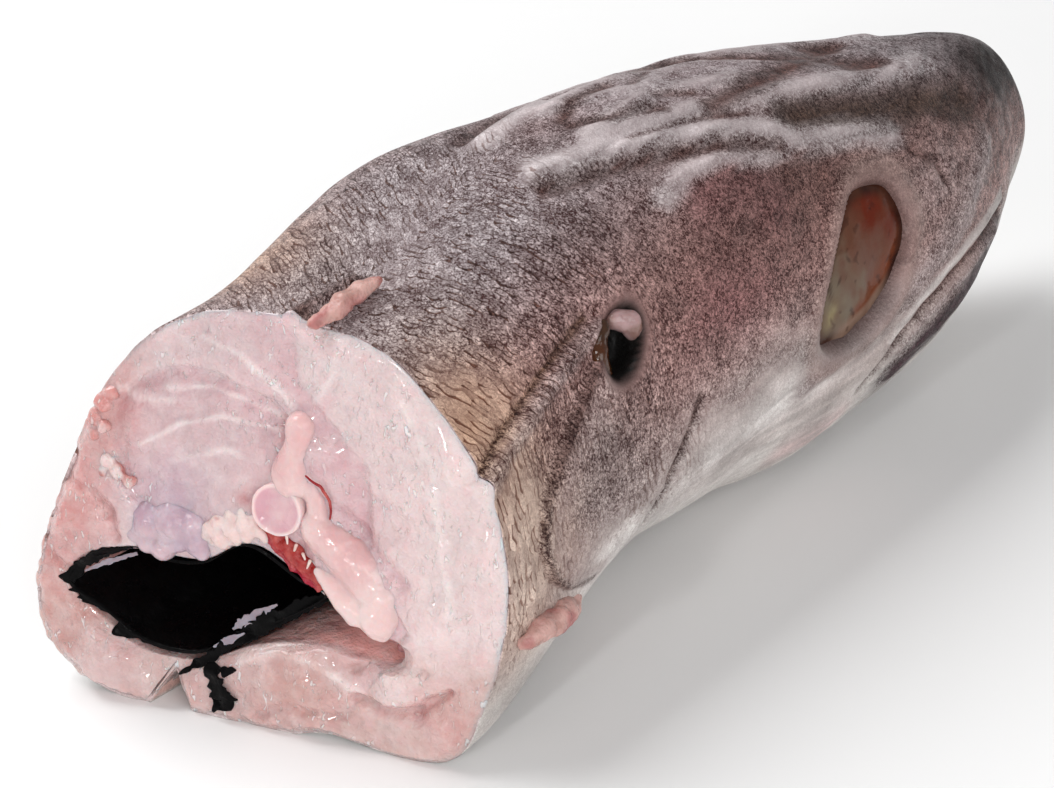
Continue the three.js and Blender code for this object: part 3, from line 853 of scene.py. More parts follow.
def damp_group():
    """A damp film: patches of gloss and fine beads, read from the object's coordinates."""
    if "Hake damp film" in bpy.data.node_groups:
        return bpy.data.node_groups["Hake damp film"]
    inputs = [("Scale", "NodeSocketFloat", 300.0), ("Gloss", "NodeSocketFloat", 0.2),
              ("Dull", "NodeSocketFloat", 0.5)]
    outputs = [("Roughness", "NodeSocketFloat"), ("Height", "NodeSocketFloat")]
    tree, given, out = new_group("Hake damp film", inputs, outputs)
    place = object_place(tree)
    patches = noise(tree, place, given["Scale"], 3.0)
    even = ranged(tree, patches, 0.35, 0.65)
    tree.links.new(ranged(tree, even, 0.0, 1.0, given["Gloss"], given["Dull"]), out.inputs["Roughness"])
    beads = noise(tree, place, product(tree, given["Scale"], 3.1))
    tree.links.new(number(tree, "ADD", patches, product(tree, beads, 0.45)), out.inputs["Height"])
    return tree


def start_material(name):
    material = bpy.data.materials.new(name)
    material.use_nodes = True
    tree = material.node_tree
    surface = tree.nodes["Principled BSDF"]
    return material, tree, surface


def attribute(tree, name, output="Fac"):
    return add_node(tree, "ShaderNodeAttribute", attribute_name=name).outputs[output]


def damp(tree, surface, scale, gloss, dull, depth, height=None):
    """Adds the damp film to a surface, with its bump and any height besides."""
    film = add_node(tree, "ShaderNodeGroup", node_tree=damp_group())
    set_sockets(film, {"Scale": scale, "Gloss": gloss, "Dull": dull})
    tree.links.new(film.outputs["Roughness"], surface.inputs["Roughness"])
    total = film.outputs["Height"] if height is None else number(tree, "ADD", film.outputs["Height"], height)
    bump = add_node(tree, "ShaderNodeBump", {"Height": total, "Strength": 1.0, "Distance": depth})
    tree.links.new(bump.outputs["Normal"], surface.inputs["Normal"])


def pebbles(tree, place):
    """Small light pebbles in a dark net, drawn out round the body, as a value about nought."""
    wander = vector(tree, "SCALE", noise(tree, place, 700.0, output="Color"), PEBBLE_WANDER)
    spot = vector(tree, "MULTIPLY", vector(tree, "ADD", place, wander), PEBBLES_PER_METRE)
    net = add_node(tree, "ShaderNodeTexVoronoi", {"Vector": spot, "Scale": 1.0},
                   voronoi_dimensions="2D", feature="DISTANCE_TO_EDGE")
    return ranged(tree, net.outputs["Distance"], 0.04, 0.32, -0.7, 0.75)


def skin_material(settings):
    """Damp skin in the tint of its vertices, with scales, pebbles, specks and mottling."""
    material, tree, surface = start_material("hake_skin")
    tint = attribute(tree, "tint", "Color")
    net = attribute(tree, "net")
    place = add_node(tree, "ShaderNodeUVMap", uv_map="skin").outputs["UV"]
    scales = add_node(tree, "ShaderNodeGroup", {"Map": place}, node_tree=scales_group())
    set_sockets(scales, {"Width": settings.scale_width, "Length": settings.scale_length})
    # the dark lines behind the scales are painted shade under their edges
    line = product(tree, scales.outputs["Line"], net)
    dark = mixed(tree, line, tint, mixed(tree, 1.0, tint, (*settings.scale_shade_tone, 1), "MULTIPLY"))
    shade = number(tree, "MULTIPLY_ADD", number(tree, "SUBTRACT", scales.outputs["Shade"], 0.5), net, 0.5)
    shade = ranged(tree, shade, 0.0, 1.0, 0.7, 1.3)
    coords = object_place(tree)
    grain = noise(tree, coords, 1500.0, 2.0, Roughness=0.7, Distortion=1.2)
    speck = ranged(tree, grain, 0.41, 0.66, -0.8, 1.8)
    patch = ranged(tree, noise(tree, coords, 230.0, 3.0, Distortion=0.6), 0.33, 0.67, -0.55, 0.55)
    drawn = product(tree, pebbles(tree, place), number(tree, "MULTIPLY_ADD", net, 0.6, 0.4))
    contrast = number(tree, "ADD", number(tree, "ADD", speck, patch), drawn)
    fine = number(tree, "MULTIPLY_ADD", contrast, attribute(tree, "stipple"), 1.12)
    value = product(tree, shade, number(tree, "MAXIMUM", fine, 0.12))
    warm = number(tree, "MULTIPLY_ADD", value, 0.84, 0.15)
    bright = add_node(tree, "ShaderNodeCombineXYZ", {0: warm, 1: value, 2: value}).outputs[0]
    colour = mixed(tree, 1.0, dark, bright, "MULTIPLY")
    tree.links.new(colour, surface.inputs["Base Color"])
    height = product(tree, product(tree, scales.outputs["Height"], net), 0.7)
    height = number(tree, "MULTIPLY_ADD", grain, 0.9, height)
    damp(tree, surface, 330.0, settings.gloss, settings.dull, settings.scale_depth, height)
    set_sockets(surface, {"Specular IOR Level": 0.2, "Coat Weight": 0.1, "Coat Roughness": 0.25})
    return material


def flesh_material(settings):
    """Wet raw flesh, clouded, with clusters of small white spots painted on as glints, which also raise its
    bump.
    """
    material, tree, surface = start_material("hake_flesh")
    tint = attribute(tree, "tint", "Color")
    coords = object_place(tree)
    clouds = noise(tree, coords, 240.0, 4.0, Roughness=0.6)
    share = ranged(tree, clouds, 0.4, 0.7, 0.0, 0.25)
    pale = mixed(tree, share, tint, (*settings.fibre_tone, 1))
    drawn_out = {"Vector": coords, "Rotation": (0.0, 0.7, 0.0), "Scale": (1.0, 1.0, 0.35)}
    slant = add_node(tree, "ShaderNodeMapping", drawn_out).outputs[0]
    # small white spots in clusters, painted into the colour as glints and added to the bump
    painted_glint_spots = ranged(tree, noise(tree, slant, 1000.0, 1.5, Distortion=0.8), 0.62, 0.67)
    painted_glints = product(tree, painted_glint_spots, ranged(tree, noise(tree, coords, 70.0), 0.42, 0.58))
    colour = mixed(tree, product(tree, painted_glints, 0.55), pale, (1.0, 1.0, 1.0, 1))
    tree.links.new(colour, surface.inputs["Base Color"])
    height = number(tree, "MULTIPLY_ADD", clouds, 0.8, painted_glints)
    damp(tree, surface, 420.0, settings.gloss, settings.dull, settings.bead_depth, height)
    soft_surface(surface, 0.45, depth=0.0035, spread=(1.0, 0.45, 0.35))
    set_sockets(surface, {"Coat Weight": 0.55, "Coat Roughness": 0.06})
    return material


def soft_surface(surface, weight, depth, spread):
    """Lets light into a surface, to a depth in metres."""
    set_sockets(surface, {"Subsurface Weight": weight, "Subsurface Scale": depth,
                          "Subsurface Radius": spread, "IOR": 1.4})


# Wet tissues: tone of the mottling, scale and roughness of the damp film, depth of its bump in metres,
# how much light gets in, and the coat and specular level where they differ from the usual ones
TISSUES = {
    "bone": {"scale": 260.0, "gloss": 0.14, "dull": 0.36, "depth": 0.0003, "softness": 0.5, "coat": 0.25},
    "kidney": {"mottle": tone(226, 124, 112), "scale": 420.0, "gloss": 0.1, "dull": 0.34, "depth": 0.0006,
               "softness": 0.3},
    "membrane": {"mottle": tone(222, 206, 214), "scale": 300.0, "gloss": 0.06, "dull": 0.24, "depth": 0.0007,
                 "softness": 0.6, "coat": 0.3},
    "fat": {"mottle": tone(244, 228, 226), "scale": 380.0, "gloss": 0.14, "dull": 0.4, "depth": 0.0005,
            "softness": 0.5},
    "lining": {"mottle": tone(6, 5, 6), "scale": 260.0, "gloss": 0.2, "dull": 0.5, "depth": 0.0004,
               "specular": 0.07},
    "shreds": {"mottle": tone(190, 176, 186), "scale": 300.0, "gloss": 0.1, "dull": 0.3, "depth": 0.0003,
               "softness": 0.5},
    "eye": {"mottle": tone(96, 58, 40), "scale": 200.0, "gloss": 0.05, "dull": 0.16, "depth": 0.00015,
            "specular": 0.2},
    "fin": {"mottle": tone(140, 96, 84), "scale": 420.0, "gloss": 0.2, "dull": 0.45, "depth": 0.0005,
            "softness": 0.2},
    "gill": {"mottle": tone(84, 54, 36), "scale": 300.0, "gloss": 0.06, "dull": 0.24, "depth": 0.0005,
             "softness": 0.15, "coat": 0.4},
}


def tissue_material(kind, **more):
    """Wet tissue of a kind in TISSUES, whose tint is on its vertices."""
    return mottled_material("hake_" + kind, **TISSUES[kind], **more)


def mottled_material(name, mottle, scale, gloss, dull, depth, softness=0.0, coat=0.0, specular=0.5):
    """A wet surface in the tint of its vertices, mottled towards a second tone."""
    material, tree, surface = start_material(name)
    tint = attribute(tree, "tint", "Color")
    spots = noise(tree, object_place(tree), 0.7 * scale, 4.0)
    share = product(tree, ranged(tree, spots, 0.45, 0.7), 0.5)
    tree.links.new(mixed(tree, share, tint, (*mottle, 1)), surface.inputs["Base Color"])
    damp(tree, surface, scale, gloss, dull, depth)
    if softness:
        soft_surface(surface, softness, depth=0.003, spread=(1.0, 0.4, 0.3))
    set_sockets(surface, {"Coat Weight": coat, "Coat Roughness": 0.08, "Specular IOR Level": specular})
    return material


def floor_material(colour):
    """Plain pale floor, barely clouded."""
    material, tree, surface = start_material("stage_floor")
    share = ranged(tree, noise(tree, object_place(tree), 40.0), 0.3, 0.7, 0.0, 0.03)
    tree.links.new(mixed(tree, share, (*colour, 1), (0.8, 0.8, 0.8, 1)), surface.inputs["Base Color"])
    set_sockets(surface, {"Roughness": 0.6})
    return material


# Skin

def skin_tint(s, angle, points, settings):
    """Colour of the skin, from the belly to the back, with its fields and lines."""
    fold = folded(angle)
    colours = plain_tint(settings.belly, len(s))
    colours = blend_tone(colours, smooth(-30, 6, fold), settings.flank)
    colours = blend_tone(colours, smooth(36, 74, fold), settings.back)
    uneven = 0.5 * cloud(points, 14, 21) + 0.3 * cloud(points, 5, 22)
    side = np.sign(turn_between(angle, 90))
    feather = cloud(np.stack([s / 9, fold * per_degree(s) / 1.3, side], axis=-1), 1, 23)
    for at, level, along, across, name, share in SKIN_FIELDS.values():
        weight = share * bell(np.hypot((s - at) / along, (fold - level) / across), 1)
        colours = blend_tone(colours, weight * (1 + 0.5 * uneven), SKIN_TONES[name])
    # pale ridges get a painted highlight, and dark valleys, grooves, crease, mouth and nostril painted shade
    for line, _, _, name, spread, share in HEAD_LINES.values():
        distance = skin_distance(line, s, angle)[0] + 0.3 * spread * (uneven + feather)
        strength = share * (1 + 0.3 * uneven + 0.25 * feather)
        colours = blend_tone(colours, strength * np.exp(-np.abs(distance / spread) ** 3), SKIN_TONES[name])
    edge, side = skin_distance(GILL_COVER_EDGE, s, angle)
    margin = np.where(side > 0, 0, bell(edge - 3.2, 2.4))
    colours = blend_tone(colours, 0.55 * margin, tone(152, 130, 127))
    # a dark line of painted shade under the gill cover's edge
    colours = blend_tone(colours, 0.8 * bell(edge, 1.2), SKIN_TONES["dark"])
    eye = eye_share(s, angle)
    colours = blend_tone(colours, 0.6 * bell(eye - 1.24, 0.2), tone(150, 124, 118))
    # the wall of the eye socket painted dark as its shade
    colours = blend_tone(colours, 0.85 * (1 - smooth(0.98, 1.06, eye)), SKIN_TONES["dark"])
    # the gill hole painted near black as the shade inside it
    colours = blend_tone(colours, 1 - smooth(0.84, 1.14, gill_share(s, angle)), tone(6, 4, 3))
    fold_edge = skin_distance(DORSAL_FOLD, s, angle, False)[0]
    colours = blend_tone(colours, 0.7 * bell(fold_edge, 2.2), SKIN_TONES["dark"])
    under = (points[:, 2] > 0.4) & (fold < -40) & (s > cut_distance(SLIT_X, 0) - SLIT_LENGTH)
    under &= np.abs(points[:, 0] - SIDE_SHIFT - SLIT_X) < SLIT_HALF_WIDTH
    colours = blend_tone(colours, 0.8 * under, FLESH_TONES["flap"])
    return colours * (1 + 0.4 * uneven + 0.2 * feather * (1 - smooth(130, 180, s)))[:, None]


def net_share(s, angle):
    """How strongly the scales show: most behind the head, least on jaws, gill cover and belly."""
    fold = folded(angle)
    share = mix(0.0, 1.0, smooth(140, 172, s)) * smooth(-30, 10, fold)
    share *= 1 - 0.6 * bell(np.hypot((s - 186) / 18, (fold - 8) / 22), 1)
    share *= 1 - 0.7 * (1 - smooth(30, 70, s))
    return np.clip(share, 0, 1)


def paint_skin(mesh, s, angle, turn, settings, bare=None):
    """Colours for the vertices, those of flesh where the skin is bare, and a map that follows the scales."""
    points = get_points(mesh)
    colours = skin_tint(s, angle, points, settings)
    if bare is not None:
        colours = blend_tone(colours, 0.8 * bare, FLESH_TONES["outer"])
    set_tint(mesh, colours)
    open_skin = smooth(1.0, 1.4, gill_share(s, angle)) * mix(0.25, 1.0, smooth(1.1, 1.5, eye_share(s, angle)))
    set_values(mesh, "net", open_skin * net_share(s, angle))
    set_values(mesh, "stipple", open_skin * mix(0.95, 0.15, smooth(0.14, 0.36, colours.mean(axis=1))))

    def place(corner_turn, corner_vertex):
        along = s[corner_vertex]
        round_body = 360 * corner_turn * per_degree(np.maximum(along, 40))
        slant = 0.5 * per_degree(along) * np.maximum(folded(angle[corner_vertex]) - 35, 0)
        return np.stack([round_body, along - slant], axis=-1) * MM
    set_map(mesh, "skin", turn, place)


def skin_angle(turn):
    """Angle round the body, from the belly round the right side, crowded where the section turns sharply."""
    return -90 + 360 * turn - 360 * FLANK_CROWDING / (8 * pi) * np.sin(8 * pi * turn)


def head_skin(settings):
    """Skin of the head, closed by an inside wall where it meets the shoulder."""
    wall_rows = 4
    rows = HEAD_ROWS + wall_rows

    def along(row):
        return SEAM * np.minimum(row / HEAD_ROWS, 1) ** 1.2

    def place(row, turn):
        s = along(row)
        points = skin_points(s, skin_angle(turn))
        inwards = np.clip((row - HEAD_ROWS) / wall_rows, 0, 1)[:, None]
        middle = np.array([SIDE_SHIFT, HALF_LENGTH - SEAM + 6, 50])
        return mix(points, middle, inwards)
    mesh, row, turn = closed_net("head_skin", SKIN_COLUMNS, rows, place)
    paint_skin(mesh, along(row), skin_angle(turn), turn, settings)
    return mesh


def shoulder_skin(settings):
    """Skin from the head to the cut, with a rim as thick as skin and an inside wall."""
    front_rows, rim_rows, inner_rows = 3, 3, 16
    rows = front_rows + SHOULDER_ROWS + rim_rows + inner_rows + front_rows
    rim = front_rows + SHOULDER_ROWS
    thickness = settings.thickness / MM

    def along(row, end):
        outside = SEAM + (end - SEAM) * np.clip((row - front_rows) / SHOULDER_ROWS, 0, 1)
        back_again = np.clip((row - rim - rim_rows) / inner_rows, 0, 1)
        return mix(outside, SEAM + 1, back_again)

    def place(row, turn):
        angle = skin_angle(turn)
        end = ends(turn)
        lift = -thickness * np.clip((row - rim) / rim_rows, 0, 1)
        inside = smooth(0, 0.3, (row - rim - rim_rows) / inner_rows)
        off = spot_on_skin(GILL_PLACE, (16, 16), 0, along(row, end), angle)
        lift = lift - inside * (1.5 + 14 * bell(np.hypot(*off), 1))
        points = skin_points(along(row, end), angle, lift)
        front = np.clip(1 - row / front_rows, 0, 1)
        back = np.clip((row - rows + front_rows) / front_rows, 0, 1)
        front_middle = np.array([SIDE_SHIFT, HALF_LENGTH - SEAM, 50])
        back_middle = front_middle - (0, 1, 0)
        points = mix(points, front_middle, front[:, None])
        return mix(points, back_middle, back[:, None])

    def ends(turn):
        steps = np.arange(SKIN_COLUMNS) / SKIN_COLUMNS
        stations = cut_station(skin_angle(steps))
        spots = np.stack([60 * np.cos(2 * pi * steps), 60 * np.sin(2 * pi * steps), 0 * steps], axis=-1)
        stations = stations + 0.3 * cloud(spots, 2.2, 31) + 0.2 * cloud(spots, 6.0, 32)
        return stations[np.rint(turn * SKIN_COLUMNS).astype(int) % SKIN_COLUMNS] - settings.short_of_cut / MM
    mesh, row, turn = closed_net("shoulder_skin", SKIN_COLUMNS, rows, place)
    paint_skin(mesh, along(row, ends(turn)), skin_angle(turn), turn, settings, row > rim)
    return mesh


# Flesh

def rim_curve(inset):
    """The rim of the cut, inside the skin, as points (x, z)."""
    angle = skin_angle(np.arange(900) / 900)
    points = skin_points(cut_station(angle), angle, -inset)
    return np.stack([points[:, 0] - SIDE_SHIFT, points[:, 2]], axis=-1)


def face_edges(settings):
    """Two functions: how far the torn rim of the cut and the cavity's edge are from the cavity's middle."""
    even_rim = reach_reader(rim_curve(settings.skin_gap / MM), CAVITY_MIDDLE)

    def rim(direction):
        torn = mix(0.3, 1.0, smooth(-0.1, 0.5, -0.8 * np.cos(direction) - 0.6 * np.sin(direction)))
        ring = from_middle((0, 0), 50 + 0 * direction, direction)
        ring = np.concatenate([ring, np.zeros((len(ring), 1))], axis=1)
        return even_rim(direction) + torn * (0.8 * cloud(ring, 4.5, 33) + 0.6 * cloud(ring, 1.8, 34))
    return rim, reach_reader(closed_curve(CAVITY_OUTLINE, 900), CAVITY_MIDDLE)


def cut_face(settings):
    """A function that gives the height and colour of the cut face at places on it."""
    rim, cavity = face_edges(settings)

    def read(x, z):
        height, colours = face_features(x, z)
        direction = np.arctan2(z - CAVITY_MIDDLE[1], x - CAVITY_MIDDLE[0])
        far = np.hypot(x - CAVITY_MIDDLE[0], z - CAVITY_MIDDLE[1])
        from_rim = rim(direction) - far
        height = (height + 1.2) * smooth(0, 3, from_rim) * smooth(-1, 3, far - cavity(direction))
        return height - 0.25 * (1 - smooth(0, 1.8, from_rim)), colours
    return read


def even_directions(rim, cavity):
    """Directions for the columns, so that they are spread along the rim and along the cavity's edge."""
    fine = np.linspace(-pi, pi, 6000)
    curves = [from_middle(CAVITY_MIDDLE, reach(fine), fine) for reach in (rim, cavity)]
    steps = [np.linalg.norm(np.diff(curve, axis=0), axis=1) for curve in curves]
    weight = sum(step / step.sum() for step in steps)
    total = np.concatenate([[0], np.cumsum(weight)])
    return np.interp(np.arange(FLESH_COLUMNS) / FLESH_COLUMNS * total[-1], total, fine)


def cavity_width(deep):
    """How wide the cavity is, as a share of its mouth, at a share of its depth."""
    return np.sqrt(1 - deep ** CAVITY_END_SHARPNESS) * (1 - CAVITY_NARROWING * deep ** 2)


def face_features(x, z):
    """Height and colour of the cut face."""
    place = np.stack([x, z, 0 * x], axis=-1)
    uneven = cloud(place, 9, 41)
    fine = cloud(place, 1.8, 43)
    height = 0.9 * uneven + 0.5 * cloud(place, 4.2, 42) + 0.22 * fine + 0.1 * cloud(place, 0.9, 44)
    colours = plain_tint(FLESH_TONES["outer"], len(x))
    colours = blend_tone(colours, smooth(4, 32, x + 4 * uneven), FLESH_TONES["right"])
    colours = blend_tone(colours, 0.7 * smooth(-24, -42, x + 4 * uneven), FLESH_TONES["salmon"])
    colours = blend_tone(colours, 0.6 * (1 - smooth(18, 30, z + 3 * uneven)), FLESH_TONES["flap"])
    for line, drop, reach, name, share in FACE_LEDGES.values():
        distance, side = path_distance(line, x, z)
        inside = np.where(side > 0, distance, 0)
        height -= drop * smooth(0, 1.4, inside) * np.exp(-inside / reach)
        weight = share * smooth(-0.2, 2.5, inside + 0.8 * fine) * np.exp(-inside / (1.6 * reach))
        colours = blend_tone(colours, weight, FLESH_TONES[name])
    for line, spread, rise, name, tone_spread, share in FACE_LINES.values():
        distance = path_distance(line, x, z)[0] + 0.35 * cloud(place, 2.5, 45)
        height += rise * bell(distance, spread)
        strength = share * (1 + 0.6 * cloud(place, 3.5, 47))
        colours = blend_tone(colours, strength * bell(distance, tone_spread), FLESH_TONES[name])
    for at_x, at_z, spread, rise, name, share in FACE_SPOTS.values():
        distance = np.hypot(x - at_x, z - at_z) * (1 + 0.25 * cloud(place, 3, 46))
        height += rise * bell(distance, spread)
        colours = blend_tone(colours, share * bell(distance, spread), FLESH_TONES[name])
    for path, spread, rise in ((NEURAL_SPINE[0], 4.6, 1.6), (RIB_STEM[0], 5.2, 1.4), (RIB_KNOB[0], 4.6, 1.0)):
        distance = path_distance(flat_path(path), x, z)[0]
        height += rise * bell(distance, spread)
        colours = blend_tone(colours, 0.6 * bell(distance, spread), FLESH_TONES["inner"])
    return height, colours * (1 + 0.05 * uneven + 0.04 * fine)[:, None]


def flesh_mesh(settings):
    """Flesh inside the skin: its hidden wall, the cut face and the walls of the belly cavity."""
    rim_reach, cavity_reach = face_edges(settings)
    directions = even_directions(rim_reach, cavity_reach)
    face = cut_face(settings)
    middle = np.asarray(CAVITY_MIDDLE, float)
    wall_end = WALL_ROWS
    face_start = wall_end + EDGE_ROWS
    face_end = face_start + FACE_ROWS
    rows = face_end + CAVITY_ROWS
    shade = {}

    def place(row, turn):
        direction = directions[np.rint(turn * FLESH_COLUMNS).astype(int) % FLESH_COLUMNS]
        rim = from_middle(CAVITY_MIDDLE, rim_reach(direction), direction)
        edge = from_middle(CAVITY_MIDDLE, cavity_reach(direction), direction)
        across = np.clip((row - face_start) / FACE_ROWS, 0, 1)[:, None]
        flat = mix(rim, edge, across)
        height, colours = face(flat[:, 0], flat[:, 1])
        points = on_cut(flat[:, 0], flat[:, 1], height)
        # the wall under the skin, from its far end back to the rim
        forward = np.clip(1 - row / wall_end, 0, 1)
        shrink = np.where(row == 0, 0.0, 1.0)[:, None]
        wall = mix(np.array([0.0, WALL_LEVEL]), rim - 0.015 * (rim - (0, WALL_LEVEL)), shrink)
        hidden = on_cut(wall[:, 0], wall[:, 1], -0.6)
        hidden[:, 1] = mix(hidden[:, 1], HALF_LENGTH - SEAM - 3, forward)
        inward = WALL_DRAWN_IN * np.sqrt(forward)[:, None]
        hidden[:, [0, 2]] = mix(hidden[:, [0, 2]], np.array([SIDE_SHIFT, WALL_LEVEL]), inward)
        at_slit = (row > 0) & (np.abs(rim[:, 0] - SLIT_X) < 2 * SLIT_HALF_WIDTH) & (rim[:, 1] < 14)
        hidden[:, 2] = np.where(at_slit, np.minimum(hidden[:, 2], 8), hidden[:, 2])
        rounding = np.clip((row - wall_end) / EDGE_ROWS, 0, 1)[:, None]
        points = np.where((row < face_start)[:, None], mix(hidden, points, rounding), points)
        # the cavity, from its lip to its far end
        inside = np.clip((row - face_end) / (rows - face_end), 0, 1)
        opened = inside ** 1.6
        pit = mix(middle, edge, cavity_width(opened)[:, None])
        lip = cut_distance(edge[:, 0], edge[:, 1])
        depth = mix(lip, CAVITY_END, opened)
        in_pit = np.stack([pit[:, 0] + SIDE_SHIFT, HALF_LENGTH - depth, pit[:, 1]], axis=-1)
        bumps = 0.3 * cloud(in_pit, 4, 48) * smooth(0, 0.2, inside) * (1 - smooth(0.8, 1, inside))
        in_pit[:, 2] += bumps
        points = np.where((row > face_end)[:, None], in_pit, points)
        colours = blend_tone(colours, smooth(0, 0.12, opened) * 0.55, FLESH_TONES["salmon"])
        on_right = smooth(-10, 2, edge[:, 0])
        # pink, painted paler as light, on the right of the cavity where the lining shades it
        colours = blend_tone(colours, 0.95 * on_right * smooth(0, 0.04, opened), tone(255, 192, 186))
        # on the shut-in left of the cavity, painted shade darkens the walls deeper in
        shut_in = 1 - on_right
        shade["colours"] = blend_tone(colours, shut_in * smooth(0.04, 0.5, opened), FLESH_TONES["deep"])
        points[:, 2] = np.maximum(points[:, 2], 0.02)
        return points
    mesh, row, turn = closed_net("flesh", FLESH_COLUMNS, rows, place)
    set_tint(mesh, shade["colours"])
    return mesh


# Settings

def length(name, description, default):
    return FloatProperty(name=name, description=description, default=default, min=0.0, unit="LENGTH")


def colour(name, description, default):
    return FloatVectorProperty(name=name, description=description, default=default, size=3,
                               min=0.0, max=1.0, subtype="COLOR")


def factor(name, description, default):
    return FloatProperty(name=name, description=description, default=default,
                         min=0.0, max=1.0, subtype="FACTOR")


def power(name, description, default):
    return FloatProperty(name=name, description=description, default=default, min=0.0, unit="POWER")


class HakeSkin(bpy.types.PropertyGroup):
    scale_width: length("Scale width", "Width of a scale round the body", 0.0026)
    scale_length: length("Scale length", "Length of a scale along the body", 0.0014)
    scale_depth: length("Scale depth", "How far the scales stand up", 0.00035)
    thickness: length("Thickness", "Thickness of the skin at the cut", 0.0008)
    short_of_cut: length("Short of cut", "How far the skin has drawn back from the cut", 0.0003)
    back: colour("Back", "Tone of the back", tone(140, 125, 127))
    flank: colour("Flank", "Tone of the flank", tone(150, 113, 108))
    belly: colour("Belly", "Tone of the belly", tone(202, 193, 189))
    scale_shade_tone: colour("Lines", "How dark the lines between scales are", (0.26, 0.15, 0.12))
    gloss: factor("Gloss", "Roughness where the skin is wet", 0.34)
    dull: factor("Dull", "Roughness where the skin is dry", 0.6)


class HakeFlesh(bpy.types.PropertyGroup):
    skin_gap: length("Under the skin", "How far inside the skin's outside the flesh starts", 0.0001)
    fibre_tone: colour("Fibres", "Tone of the fibres", tone(250, 242, 240))
    bead_depth: length("Bead depth", "How far drops and fibres stand up", 0.0006)
    gloss: factor("Gloss", "Roughness where the flesh is wet", 0.1)
    dull: factor("Dull", "Roughness where the flesh is dull", 0.34)


class HakeInside(bpy.types.PropertyGroup):
    bone: colour("Bone", "Tone of the backbone", tone(224, 180, 180))
    gristle: colour("Gristle", "Tone of gristle and cartilage", tone(238, 214, 211))
    kidney: colour("Kidney", "Tone of the kidney", tone(156, 32, 31))
    bladder: colour("Swim bladder", "Tone of the swim bladder", tone(202, 174, 182))
    fat: colour("Fat", "Tone of the fat", tone(232, 204, 200))
    lining: colour("Lining", "Tone of the belly's lining", (0.002, 0.0018, 0.002))


class HakeEyes(bpy.types.PropertyGroup):
    amber: colour("Amber", "Tone of the upper part of the eye", tone(98, 34, 16))
    green: colour("Green", "Tone of the lower part of the eye", tone(112, 98, 82))
    # the edge tone paints the shade at the eye's rim, and also tones the eye's dark spots
    edge: colour("Edge", "Tone of the eye's edge", tone(48, 20, 13))


class HakeStage(bpy.types.PropertyGroup):
    floor: colour("Floor", "Tone of the floor", (0.92, 0.92, 0.92))
    key_power: power("Key light", "Power of the key light", 15.0)
    fill_power: power("Fill light", "Power of the fill light", 8.0)
    distance: length("Camera distance", "From the camera to the middle of the view", 0.9)
    lens: FloatProperty(name="Lens", description="Focal length", default=138.8, unit="CAMERA")


# Operators

class HAKE_OT_skin(bpy.types.Operator):
    """Model the skin of the head and shoulder"""
    bl_idname = "hake.skin"
    bl_label = "Skin"

    def execute(self, context):
        settings = context.scene.hake_skin
        material = skin_material(settings)
        show(head_skin(settings), material, "skin", "body")
        show(shoulder_skin(settings), material, "skin", "body")
        return {"FINISHED"}


# Loose lumps (x, z, out, radius) at the left rim, and the wall at the back of the right hollow
TUFT_LOBES = (
    (-36.5, 64.5, 0.6, 2.2), (-38, 61, 0.6, 2.0), (-35, 67, 0.3, 1.9), (-38.2, 57.6, 0.5, 1.8),
    (-36, 59.5, 1.0, 1.6), (-34.5, 52.2, 1.0, 2.0), (-32, 50.4, 1.2, 1.9), (-29.6, 48.6, 1.0, 1.6),
    (-35.6, 49.6, 0.6, 1.6),
)
HOLLOW_LOBES = (
    (15.5, 24.6, -15, 5.0), (20, 25, -13, 5.5), (25, 23.4, -11, 5.0), (30, 22.4, -9, 4.5), (20, 29, -14, 4.0),
)


class HAKE_OT_flesh(bpy.types.Operator):
    """Model the flesh with the cut face and the belly cavity"""
    bl_idname = "hake.flesh"
    bl_label = "Flesh"

    def execute(self, context):
        settings = context.scene.hake_flesh
        material = flesh_material(settings)
        show(flesh_mesh(settings), material, "flesh", "body")
        for name, lobes, second in (("flesh_tufts", TUFT_LOBES, "white"),
                                    ("hollow_wall", HOLLOW_LOBES, "inner")):
            lumps = lump_on_cut(name, lobes, voxel=0.4, rounds=4)
            points = roughen(lumps, (2.2, 0.5, 63), (1.0, 0.25, 64))
            mottled_tint(lumps, points, FLESH_TONES["salmon"], FLESH_TONES[second],
                         share=0.6, low=-0.2, size=2.6, seed=65)
            show(lumps, material, "flesh")
        return {"FINISHED"}


# Bones and gristle on the cut, as paths of (x, z, out) with radii
NEURAL_SPINE = (((4.6, 56, -0.8), (5.6, 60, 0.2), (6.2, 64, 0.9), (6.1, 67.5, 1.2)), (5.2, 4.4, 3.5, 3.7))
NEURAL_ARCH = (((8.4, 56, 0), (10.2, 52.6, 0.4), (11, 49.4, 0.4), (11.2, 46.4, 0.2)), (2.6, 2.6, 2.8, 3.4))
RIB_STEM = (((11, 47, 0), (13.6, 44.4, -0.4), (17.4, 41.4, -0.8), (22, 38, -1.2), (25, 34.5, -1.0)),
            (4.2, 4.8, 5.2, 5.6, 5.2))
RIB_KNOB = (((26, 34, 0.6), (25.8, 30.6, 1.4), (26.4, 28.4, 1.2)), (4.4, 4.6, 3.4))
GRISTLE_BAND = (((12.5, 37.6, 1.4), (16, 35, 2.0), (19, 32.6, 2.4), (21.6, 30.4, 2.2)), (1.2, 1.9, 2.5, 2.8))
SPINE_TIP = (4.8, 68)

# Half section of the vertebra as (radius, out), from the middle of its dish round the rim to its hidden back
VERTEBRA_OUTLINE = (
    (0, 2.3), (2.6, 2.4), (4.6, 2.8), (5.2, 3.1), (5.5, 3.15), (5.8, 2.8), (5.9, 1.8), (5.4, -8), (0, -8),
)


